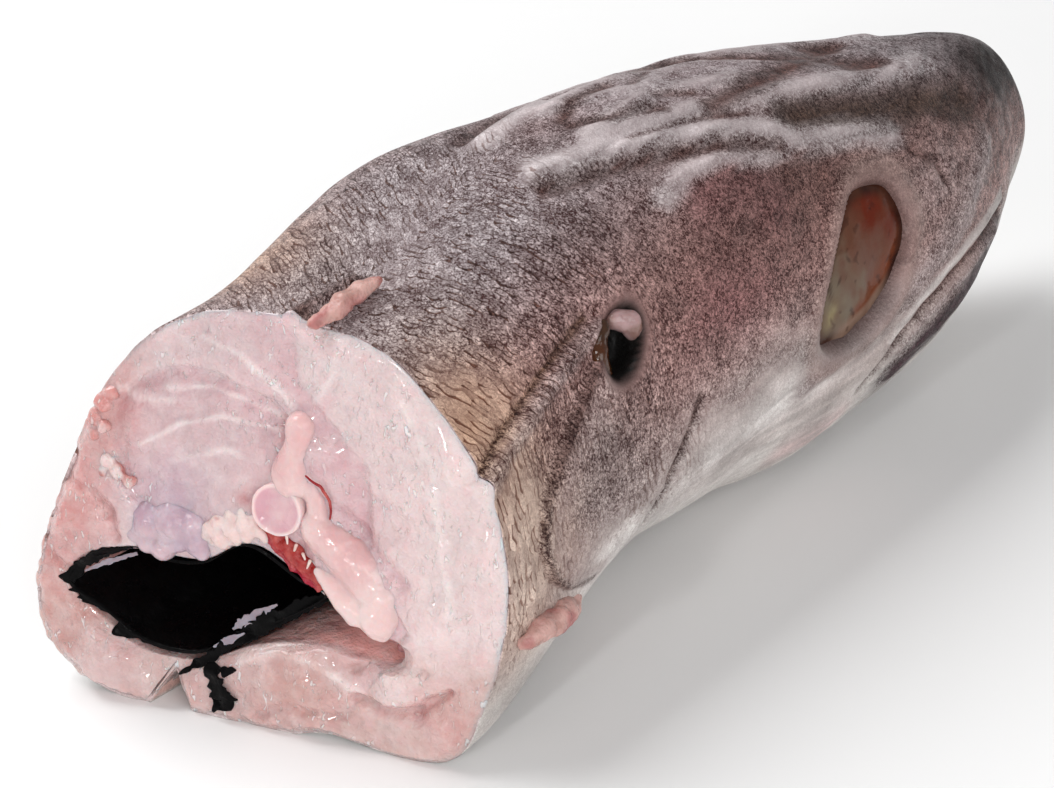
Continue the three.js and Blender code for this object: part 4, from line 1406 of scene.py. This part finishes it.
class HAKE_OT_backbone(bpy.types.Operator):
    """Model the cut vertebra with its spine, rib stem and gristle"""
    bl_idname = "hake.backbone"
    bl_label = "Backbone"

    def execute(self, context):
        inside = context.scene.hake_inside
        material = tissue_material("bone", mottle=inside.gristle)
        show(self.bars(inside), material, "bone", "backbone")
        show(self.disc(inside), material, "bone", "backbone")
        return {"FINISHED"}

    def bars(self, inside):
        paths = (NEURAL_SPINE, NEURAL_ARCH, RIB_STEM, RIB_KNOB, GRISTLE_BAND)
        mesh = lump_on_cut("bone_bars", [balls_along(*path) for path in paths], voxel=0.42, rounds=10)
        points = roughen(mesh, (3.0, 0.3, 51), (1.1, 0.1, 52))
        x = points[:, 0] - SIDE_SHIFT
        z = points[:, 2]
        colours = plain_tint(inside.bone, len(x))
        pale_bars = ((RIB_KNOB, 0.9, 6.0), (GRISTLE_BAND, 0.9, 3.0), (NEURAL_ARCH, 0.55, 2.4))
        for (path, _), share, spread in pale_bars:
            near = bell(path_distance(flat_path(path), x, z)[0], spread)
            colours = blend_tone(colours, share * near, inside.gristle)
        tip = bell(np.hypot(x - SPINE_TIP[0], z - SPINE_TIP[1]), 3.0)
        set_tint(mesh, blend_tone(colours, 0.5 * tip, inside.gristle))
        return mesh

    def disc(self, inside):
        """Dished end of the vertebra with a rolled rim, made by spinning its outline."""
        spun = bmesh.new()
        corners = [spun.verts.new((far * MM, 0, out * MM)) for far, out in VERTEBRA_OUTLINE]
        edges = [spun.edges.new(pair) for pair in zip(corners, corners[1:])]
        bmesh.ops.spin(spun, geom=corners + edges, cent=(0, 0, 0), axis=(0, 0, 1), angle=2 * pi, steps=64,
                       use_merge=True)
        bmesh.ops.remove_doubles(spun, verts=spun.verts, dist=1e-6)
        bmesh.ops.recalc_face_normals(spun, faces=spun.faces)
        x, z = VERTEBRA_PLACE
        facing = Vector(CUT_NORMAL).to_track_quat("Z", "Y").to_matrix().to_4x4()
        centre = Vector(on_cut(np.array([x]), np.array([z]))[0] * MM)
        bmesh.ops.transform(spun, matrix=Matrix.Translation(centre) @ facing, verts=spun.verts)
        mesh = applied(mesh_of(spun, "vertebra"), ("SUBSURF", {"levels": 2, "render_levels": 2}))
        points = roughen(mesh, (3.0, 0.18, 53), (1.2, 0.06, 54))
        off = np.linalg.norm(points - np.array(centre) / MM, axis=1)
        colours = plain_tint(tone(218, 168, 178), len(points))
        set_tint(mesh, blend_tone(colours, smooth(5.4, 6.0, off), tone(240, 210, 210)))
        return mesh


# The kidney, its crimson lower edge, its run into the body, pale lumps as painted glints, a vessel by the
# spine
KIDNEY_STRIP = (((0.8, 44.4, -0.2), (6, 40.6, 0), (10.5, 37.2, 0), (14, 34.4, -0.4)), (2.0, 2.6, 2.5, 1.6))
KIDNEY_EDGE = (((1.6, 42, 0.4), (7, 37.6, 0.5), (12.4, 33.4, 0.2)), (1.2, 1.3, 1.0))
KIDNEY_RUN = (((6, 41, -3), (6, 41, -34)), (3.0, 2.0))
KIDNEY_PAINTED_GLINTS = (
    ((5.2, 44), (5.8, 42.6)), ((7.4, 42.4), (7.2, 40.6)),
    ((9, 40.8), (9.8, 40)), ((10.6, 39.6), (10.4, 38.2)),
)
KIDNEY_GLINT_OUT = (1.7, 2.3)
KIDNEY_GLINT_RADII = (0.42, 0.26)
VESSEL = (((9, 58.6, 1.2), (11.8, 56.6, 1.1), (13.6, 53.2, 0.9), (14, 49.6, 0.8)), (0.25, 0.35, 0.35, 0.25))


class HAKE_OT_kidney(bpy.types.Operator):
    """Model the dark red kidney under the backbone and a blood vessel beside it"""
    bl_idname = "hake.kidney"
    bl_label = "Kidney"

    def execute(self, context):
        inside = context.scene.hake_inside
        material = tissue_material("kidney")
        bars = [balls_along(*bar) for bar in (KIDNEY_STRIP, KIDNEY_EDGE, KIDNEY_RUN)]
        mesh = lump_on_cut("kidney_strip", bars, voxel=0.38, rounds=4)
        points = roughen(mesh, (1.6, 0.5, 61), (0.8, 0.2, 62))
        edge = path_distance(flat_path(KIDNEY_EDGE[0]), points[:, 0] - SIDE_SHIFT, points[:, 2])[0]
        colours = plain_tint(inside.kidney, len(points))
        set_tint(mesh, blend_tone(colours, 0.9 * bell(edge, 1.6), tone(168, 24, 56)))
        show(mesh, material, "kidney", "kidney")
        # small pale lumps across the kidney, painted in as its glints
        low, high = KIDNEY_GLINT_OUT
        glint_lumps = [balls_along([(*start, low), (*end, high)], KIDNEY_GLINT_RADII, step=0.2)
                for start, end in KIDNEY_PAINTED_GLINTS]
        glint_lumps = lump_on_cut("kidney_painted_glints", glint_lumps, voxel=0.2, rounds=2)
        set_tint(glint_lumps, tone(246, 216, 206))
        show(glint_lumps, material, "kidney")
        face = cut_face(context.scene.hake_flesh)
        balls = balls_along(*VESSEL, step=0.2)
        balls[:, 2] += face(balls[:, 0], balls[:, 1])[0]
        vessel = lump_on_cut("blood_vessel", balls, voxel=0.16, rounds=2)
        set_tint(vessel, tone(138, 20, 30))
        show(vessel, material, "kidney")
        return {"FINISHED"}


# Lobes (x, z, out, radius) of the swim bladder and the fat beside it
BLADDER_LOBES = (
    (-25, 40.5, -1.6, 5.2), (-20, 41.5, -1.4, 5.4), (-15.5, 40.6, -1.2, 4.4), (-27.4, 37.6, -0.6, 3.2),
    (-24.4, 36.4, 0.0, 3.0), (-21, 35.6, 0.4, 3.0), (-18, 37.6, 0.2, 2.8), (-14, 38, 0.3, 3.0),
    (-12.8, 36.4, 0.5, 2.0), (-22, 41, -12, 6.0), (-22, 41, -24, 5.6), (-22, 41, -36, 4.0),
)
FAT_LOBES = (
    (-11.6, 41.4, 0.6, 1.8), (-9.8, 43.6, 0.6, 1.9), (-9.2, 40.4, 1.0, 1.8), (-7.2, 45.6, 0.6, 1.9),
    (-6.8, 42.8, 1.2, 2.0), (-6.0, 40.8, 0.8, 1.7), (-4.6, 47, 0.6, 1.7), (-4.0, 44.6, 1.2, 2.0),
    (-3.2, 42.2, 1.0, 1.8), (-1.8, 46, 0.8, 1.7), (-1.0, 43.6, 1.0, 1.7), (0.4, 42.2, 0.6, 1.4),
    (-10.4, 39.2, 0.6, 1.5), (-8.0, 39.4, 0.8, 1.5), (-12.6, 39.8, 0.2, 1.4),
)


class HAKE_OT_bladder(bpy.types.Operator):
    """Model the lilac lobes of the swim bladder and the fat beside them"""
    bl_idname = "hake.bladder"
    bl_label = "Swim bladder and fat"

    def execute(self, context):
        inside = context.scene.hake_inside
        membrane = tissue_material("membrane")
        lobes = lump_on_cut("bladder_lobes", BLADDER_LOBES, voxel=0.5, rounds=10)
        points = roughen(lobes, (3.2, 0.35, 71), (1.4, 0.1, 72))
        colours = plain_tint(inside.bladder, len(points))
        colours = blend_tone(colours, 0.5 * smooth(0.0, 0.7, cloud(points, 5, 73)), tone(178, 158, 180))
        set_tint(lobes, blend_tone(colours, smooth(39, 44, points[:, 2]), FLESH_TONES["lilac"]))
        show(lobes, membrane, "membrane", "swim_bladder")
        cream = tissue_material("fat")
        fat = lump_on_cut("fat_lobes", FAT_LOBES, voxel=0.4, rounds=10)
        points = roughen(fat, (2.0, 0.4, 74), (0.9, 0.12, 75))
        red = smooth(0.25, 0.6, cloud(points, 1.6, 76)) * smooth(43, 47, points[:, 2])
        set_tint(fat, blend_tone(plain_tint(inside.fat, len(points)), 0.7 * red, FLESH_TONES["blood"]))
        show(fat, cream, "flesh")
        return {"FINISHED"}


# The black pouch that lines the cavity left of the torn strip
POUCH_OUTLINE = (
    (-41.5, 23), (-39.5, 28.5), (-28.5, 34.8), (-21, 33.2), (-12, 34.6), (-3, 40), (9, 34.4), (14.5, 32),
    (1, 21.6), (-8.5, 15), (-16, 12.8), (-25, 14), (-35, 19.6),
)
POUCH_THICKNESS = 0.5
POUCH_LONGER = 4

# Torn strips of lining and pale shreds: path of (x, z, out), widths, seed
TORN_STRIPS = (
    (((15.5, 32.5, -2), (9, 28.5, -0.6), (2, 23.5, 0.4), (-5, 17.5, 0.6), (-11, 12, 0.5), (-15.5, 8, 0.5)),
     (2.0, 3.8, 3.6, 2.6, 2.0, 0.4), 1),
    (((-9, 13.5, 0.5), (-8.2, 11, 0.6), (-6.4, 8, 0.7), (-5, 5, 0.7), (-7, 1.8, 0.6)),
     (1.2, 3.6, 4.6, 4.4, 0.5), 2),
    (((-6, 7.5, 0.8), (-3, 6, 0.7), (-1.8, 5.8, 0.6)), (2.2, 1.4, 0.2), 3),
    (((-5.5, 11.5, 0.7), (-3.4, 12.4, 0.7), (-2.6, 12.4, 0.6)), (2.0, 1.2, 0.2), 4),
    (((-41, 24, 0.4), (-38.5, 28.6, 0.5), (-33, 32.4, 0.5), (-27.5, 34.6, 0.3)), (1.8, 2.6, 2.2, 0.4), 6),
)
PALE_SHREDS = (
    (((4, 28, 0.2), (0, 25, 0.4), (-3, 22.4, 0.4), (-5, 20.4, 0.2)), (0.4, 2.4, 2.0, 0.4), 8),
    (((-2, 20.6, 0.8), (-5, 18.4, 0.9), (-8.5, 16, 0.8)), (0.3, 1.8, 0.4), 9),
    (((-38, 26.6, 0.2), (-33, 29.8, 0.4), (-27, 32.8, 0.2)), (0.3, 1.3, 0.6), 10),
)


class HAKE_OT_lining(bpy.types.Operator):
    """Model the black lining of the belly cavity with its torn strips"""
    bl_idname = "hake.lining"
    bl_label = "Belly lining"

    def execute(self, context):
        inside = context.scene.hake_inside
        material = tissue_material("lining")
        face = cut_face(context.scene.hake_flesh)
        show(self.pouch(inside, face), material, "lining", "belly_lining")
        strips = joined("lining_strips", [torn_strip("strip", face, *strip) for strip in TORN_STRIPS])
        set_tint(strips, inside.lining)
        show(strips, material, "lining")
        pale = tissue_material("shreds")
        shreds = [torn_strip("shred", face, *shred, thickness=0.3) for shred in PALE_SHREDS]
        shreds = joined("membrane_shreds", shreds)
        set_tint(shreds, tone(158, 140, 150))
        show(shreds, pale, "membrane")
        return {"FINISHED"}

    def pouch(self, inside, face):
        """A thin bag with a ragged mouth, whose torn collar lies over the flesh at the left."""
        columns, outer_rows, edge_rows, inner_rows = 400, 8, 10, 34
        rows = outer_rows + edge_rows + inner_rows
        mouth = outer_rows + edge_rows / 2
        outline = closed_curve(POUCH_OUTLINE, columns)
        middle = np.asarray(CAVITY_MIDDLE, float) - (5, 2)

        def place(row, turn):
            edge = outline[np.rint(turn * columns).astype(int) % columns]
            deep = np.where(row < mouth, 1 - row / outer_rows, (row - outer_rows - edge_rows) / inner_rows)
            deep = np.clip(deep, 0, 1) ** 1.4
            inner = smooth(outer_rows, outer_rows + edge_rows, row)
            outward = edge - middle
            outward /= np.linalg.norm(outward, axis=1)[:, None]
            ring = np.stack([edge[:, 0], edge[:, 1], 0 * row], axis=-1)
            left = smooth(-22, -30, edge[:, 0]) * (1 - 0.6 * smooth(24, 28, edge[:, 1]))
            teeth = 1.6 + 3.4 * cloud(ring, 2.6, 81) + 2.4 * cloud(ring, 1.1, 82)
            collar = np.clip(mix(0.5, teeth, left), 0.1, 5)
            out = np.clip(1 - np.abs(row - mouth) / (edge_rows / 2), 0, 1)
            edge = edge + outward * (collar * out - 0.25 - POUCH_THICKNESS * inner)[:, None]
            spot = mix(middle, edge, cavity_width(deep)[:, None])
            start = cut_distance(edge[:, 0], edge[:, 1])
            s = mix(start, CAVITY_END + POUCH_LONGER + POUCH_THICKNESS * (1 - inner), deep)
            points = np.stack([spot[:, 0] + SIDE_SHIFT, HALF_LENGTH - s, spot[:, 1]], axis=-1)
            lift = face(edge[:, 0], edge[:, 1])[0] + 0.1 + 0.3 * inner
            points += ((deep == 0) * lift)[:, None] * CUT_NORMAL
            folds = 0.5 * cloud(points * (1, 0.4, 1), 3.5, 83) * smooth(0, 0.05, deep)
            points[:, 2] += folds * inner
            return points
        mesh = closed_net("lining_pouch", columns, rows, place)[0]
        bag = bmesh.new()
        bag.from_mesh(mesh)
        bmesh.ops.recalc_face_normals(bag, faces=bag.faces)
        bag.to_mesh(mesh)
        bag.free()
        set_tint(mesh, inside.lining)
        return mesh


class HAKE_OT_eyes(bpy.types.Operator):
    """Model the sunken amber eyes"""
    bl_idname = "hake.eyes"
    bl_label = "Eyes"

    def execute(self, context):
        settings = context.scene.hake_eyes
        material = tissue_material("eye")
        show(self.eye("right_eye", False, settings), material, "eye", "eye_right")
        show(self.eye("left_eye", True, settings), material, "eye", "eye_left")
        return {"FINISHED"}

    def eye(self, name, on_left, settings):
        """A low dome that fills the socket, with a flat hidden back."""
        columns, rows = 96, 64
        shade = {}

        def place(row, turn):
            share = row / rows
            front = share <= 0.5
            reach = np.where(front, 2 * share, 2 * (1 - share))
            direction = 2 * pi * turn * (-1 if on_left else 1)
            along, across = from_middle(EYE_MIDDLE, 1.03 * reach * EYE_REACH(direction), direction).T
            s, angle = place_on_skin(EYE_PLACE, EYE_TURN, along, across)
            angle = 180 - angle if on_left else angle
            flat = np.stack([along, across, 0 * along], axis=-1)
            dome = EYE_DOME * (1 - reach ** 2) + 0.25 * cloud(flat, 4, 91)
            lift = np.where(front, dome - EYE_SINK, -EYE_SINK - 1.6 * (1 - reach ** 2))
            shade["reach"], shade["flat"] = reach, flat
            return skin_points(s, angle, lift, height=0.0)
        mesh = closed_net(name, columns, rows, place)[0]
        reach, flat = shade["reach"], shade["flat"]
        along = flat[:, 0] / 17
        across = flat[:, 1] / 8
        uneven = 0.25 * cloud(flat, 5, 92) + 0.12 * cloud(flat, 1.6, 93)
        colours = plain_tint(settings.amber, len(along))
        colours = blend_tone(colours, smooth(0.6, 0.1, along + uneven), tone(102, 66, 52))
        colours = blend_tone(colours, smooth(0.05, -0.5, along + uneven), settings.green)
        low_end = bell(np.hypot(along + 0.85, across - 0.2) + uneven, 0.25)
        colours = blend_tone(colours, 0.6 * low_end, tone(176, 164, 112))
        right = smooth(0.3, 0.75, -across + 0.5 * uneven)
        colours = blend_tone(colours, 0.85 * right, tone(112, 52, 24))
        # the eye's rim darkens with painted shade from the socket's edge
        colours = blend_tone(colours, smooth(0.74, 0.94, reach), settings.edge)
        lid = smooth(0.7, 0.84, reach) * smooth(0.0, 0.5, -across) * smooth(0.35, -0.2, along)
        colours = blend_tone(colours, 0.85 * lid, tone(148, 122, 106))
        dots = smooth(0.55, 0.75, cloud(flat, 1.4, 94))
        set_tint(mesh, blend_tone(colours, 0.6 * dots, settings.edge))
        return mesh


# Torn fin stubs and what shows in the gill holes, as paths of (s, angle, lift) with radii
DORSAL_STRIP = (((222, 93, -0.6), (216, 91, 0.2), (210, 90, 0.4), (206, 88, 0)), (1.6, 2.4, 2.2, 1.4))
PECTORAL_STUB = (((212, -6, 0), (206, -7.5, 0.8), (199, -13, 0.8), (192, -22, 0)), (1.6, 2.7, 3.0, 1.8))
GILL_BUMP = (((164.5, 39.5, -2.6), (162, 37.5, -2.0), (160.5, 35, -2.8)), (2.2, 2.9, 2.4))
GILL_WALL = (((168.5, 40, -1.6), (171.5, 37.5, -1.8), (173, 34, -2.2), (172, 31, -3.0)), (1.6, 2.1, 2.1, 1.8))


def bar_on_skin(name, path, radii, on_left):
    """A soft bar along a path of (s, angle, lift) on the plain skin."""
    balls = balls_along(path, radii, step=0.5)
    angle = 180 - balls[:, 1] if on_left else balls[:, 1]
    centres = skin_points(balls[:, 0], angle, balls[:, 2], height=0.0)
    return soft_lump(name, centres, balls[:, 3], voxel=0.4, rounds=5)


class HAKE_OT_fins(bpy.types.Operator):
    """Model the torn stubs of the back fin and the side fins"""
    bl_idname = "hake.fins"
    bl_label = "Fin stubs"

    def execute(self, context):
        material = tissue_material("fin")
        stubs = (("dorsal_stub", DORSAL_STRIP, False, "dorsal_fin_stub"),
                 ("right_pectoral_stub", PECTORAL_STUB, False, "pectoral_stub_right"),
                 ("left_pectoral_stub", PECTORAL_STUB, True, "pectoral_stub_left"))
        for name, (path, radii), on_left, node in stubs:
            mesh = bar_on_skin(name, path, radii, on_left)
            points = roughen(mesh, (2.4, 0.6, 101), (1.0, 0.25, 102))
            mottled_tint(mesh, points, tone(210, 168, 160), tone(166, 88, 90),
                         share=0.7, low=0.0, size=3, seed=103)
            show(mesh, material, "fin", node)
        return {"FINISHED"}


class HAKE_OT_gill_holes(bpy.types.Operator):
    """Model the pale gristle and the brown wall that show in the gill holes"""
    bl_idname = "hake.gill_holes"
    bl_label = "Gill holes"

    def execute(self, context):
        material = tissue_material("gill")
        bars = (("gill_bump", GILL_BUMP, tone(176, 144, 144), tone(120, 86, 70)),
                ("gill_wall", GILL_WALL, tone(70, 34, 10), tone(40, 26, 14)))
        for name, bar, first, second in bars:
            for side, on_left in (("right", False), ("left", True)):
                mesh = bar_on_skin(side + "_" + name, *bar, on_left)
                points = roughen(mesh, (2.4, 0.4, 111), (1.0, 0.12, 112))
                mottled_tint(mesh, points, first, second, share=0.8, low=-0.2, size=4, seed=113)
                show(mesh, material, "membrane")
        return {"FINISHED"}


# Camera, from the photo's view: where it looks from, its tilt, and the middle of the view in millimetres
CAMERA_AZIMUTH = 47.92
CAMERA_ELEVATION = 32.24
CAMERA_ROLL = -4.29
CAMERA_TARGET = (-15.5, -16.9, 28.4)
SENSOR_WIDTH = 36

# The stage in metres: half the floor's side, the even light round it, and the places and sizes of the lamps
FLOOR_HALF_SIDE = 6
WORLD_LIGHT = 0.32
KEY_LAMP = ((-0.75, -0.1, 1.15), 0.9)
FILL_LAMP = ((1.15, -0.45, 0.65), 1.0)
GLINT_LAMP = ((0.35, -1.1, 0.5), 0.1)
GLINT_PER_FILL = 0.3


class HAKE_OT_stage(bpy.types.Operator):
    """Set the floor, the lights and the camera"""
    bl_idname = "hake.stage"
    bl_label = "Stage"

    def execute(self, context):
        settings = context.scene.hake_stage
        self.floor(context, settings)
        self.lights(context, settings)
        self.camera(context, settings)
        return {"FINISHED"}

    def floor(self, context, settings):
        sheet = bmesh.new()
        bmesh.ops.create_grid(sheet, x_segments=8, y_segments=8, size=FLOOR_HALF_SIDE)
        mesh = mesh_of(sheet, "stage_floor")
        mesh.materials.append(floor_material(settings.floor))
        floor = bpy.data.objects.new("stage_floor", mesh)
        context.scene.collection.objects.link(floor)

    def lights(self, context, settings):
        context.scene.view_settings.view_transform = "Standard"
        world = bpy.data.worlds.new("stage_world")
        world.use_nodes = True
        set_sockets(world.node_tree.nodes["Background"], {"Color": (1, 1, 1, 1), "Strength": WORLD_LIGHT})
        context.scene.world = world
        lamps = (("key", *KEY_LAMP, settings.key_power), ("fill", *FILL_LAMP, settings.fill_power),
                 ("glint", *GLINT_LAMP, GLINT_PER_FILL * settings.fill_power))
        for name, place, size, energy in lamps:
            light = bpy.data.lights.new(name, "AREA")
            light.size = size
            light.energy = energy
            lamp = bpy.data.objects.new(name, light)
            lamp.location = place
            lamp.rotation_euler = (-Vector(place)).to_track_quat("-Z", "Y").to_euler()
            context.scene.collection.objects.link(lamp)

    def camera(self, context, settings):
        turn, rise, roll = (radians(angle) for angle in (CAMERA_AZIMUTH, CAMERA_ELEVATION, CAMERA_ROLL))
        back = Vector((sin(turn) * cos(rise), -cos(turn) * cos(rise), sin(rise)))
        right = Vector((cos(turn), sin(turn), 0))
        up = back.cross(right)
        side = right * cos(roll) + up * sin(roll)
        top = up * cos(roll) - right * sin(roll)
        data = bpy.data.cameras.new("camera")
        data.sensor_fit = "HORIZONTAL"
        data.sensor_width = SENSOR_WIDTH
        data.lens = settings.lens
        camera = bpy.data.objects.new("camera", data)
        place = Vector(CAMERA_TARGET) * MM + back * settings.distance
        camera.matrix_world = Matrix.Translation(place) @ Matrix((side, top, back)).transposed().to_4x4()
        context.scene.collection.objects.link(camera)
        context.scene.camera = camera


PIECES = (
    HAKE_OT_skin, HAKE_OT_flesh, HAKE_OT_backbone, HAKE_OT_kidney, HAKE_OT_bladder, HAKE_OT_lining,
    HAKE_OT_eyes, HAKE_OT_fins, HAKE_OT_gill_holes, HAKE_OT_stage,
)


class HAKE_PT_panel(bpy.types.Panel):
    """The pieces of the hake and their settings"""
    bl_label = "Hake"
    bl_idname = "HAKE_PT_panel"
    bl_space_type = "VIEW_3D"
    bl_region_type = "UI"
    bl_category = "Hake"

    def draw(self, context):
        for piece in PIECES:
            self.layout.operator(piece.bl_idname)
        for name in SETTINGS:
            settings = getattr(context.scene, name)
            box = self.layout.box()
            for prop in settings.bl_rna.properties:
                if prop.identifier not in {"rna_type", "name"}:
                    box.prop(settings, prop.identifier)


SETTINGS = {
    "hake_skin": HakeSkin,
    "hake_flesh": HakeFlesh,
    "hake_inside": HakeInside,
    "hake_eyes": HakeEyes,
    "hake_stage": HakeStage,
}


def register():
    for kind in (*SETTINGS.values(), *PIECES, HAKE_PT_panel):
        bpy.utils.register_class(kind)
    for name, kind in SETTINGS.items():
        setattr(bpy.types.Scene, name, PointerProperty(type=kind))


def unregister():
    for name in SETTINGS:
        delattr(bpy.types.Scene, name)
    for kind in (HAKE_PT_panel, *reversed(PIECES), *reversed(SETTINGS.values())):
        bpy.utils.unregister_class(kind)


def main():
    register()
    for piece in PIECES:
        group, name = piece.bl_idname.split(".")
        getattr(getattr(bpy.ops, group), name)()


if __name__ == "__main__":
    main()
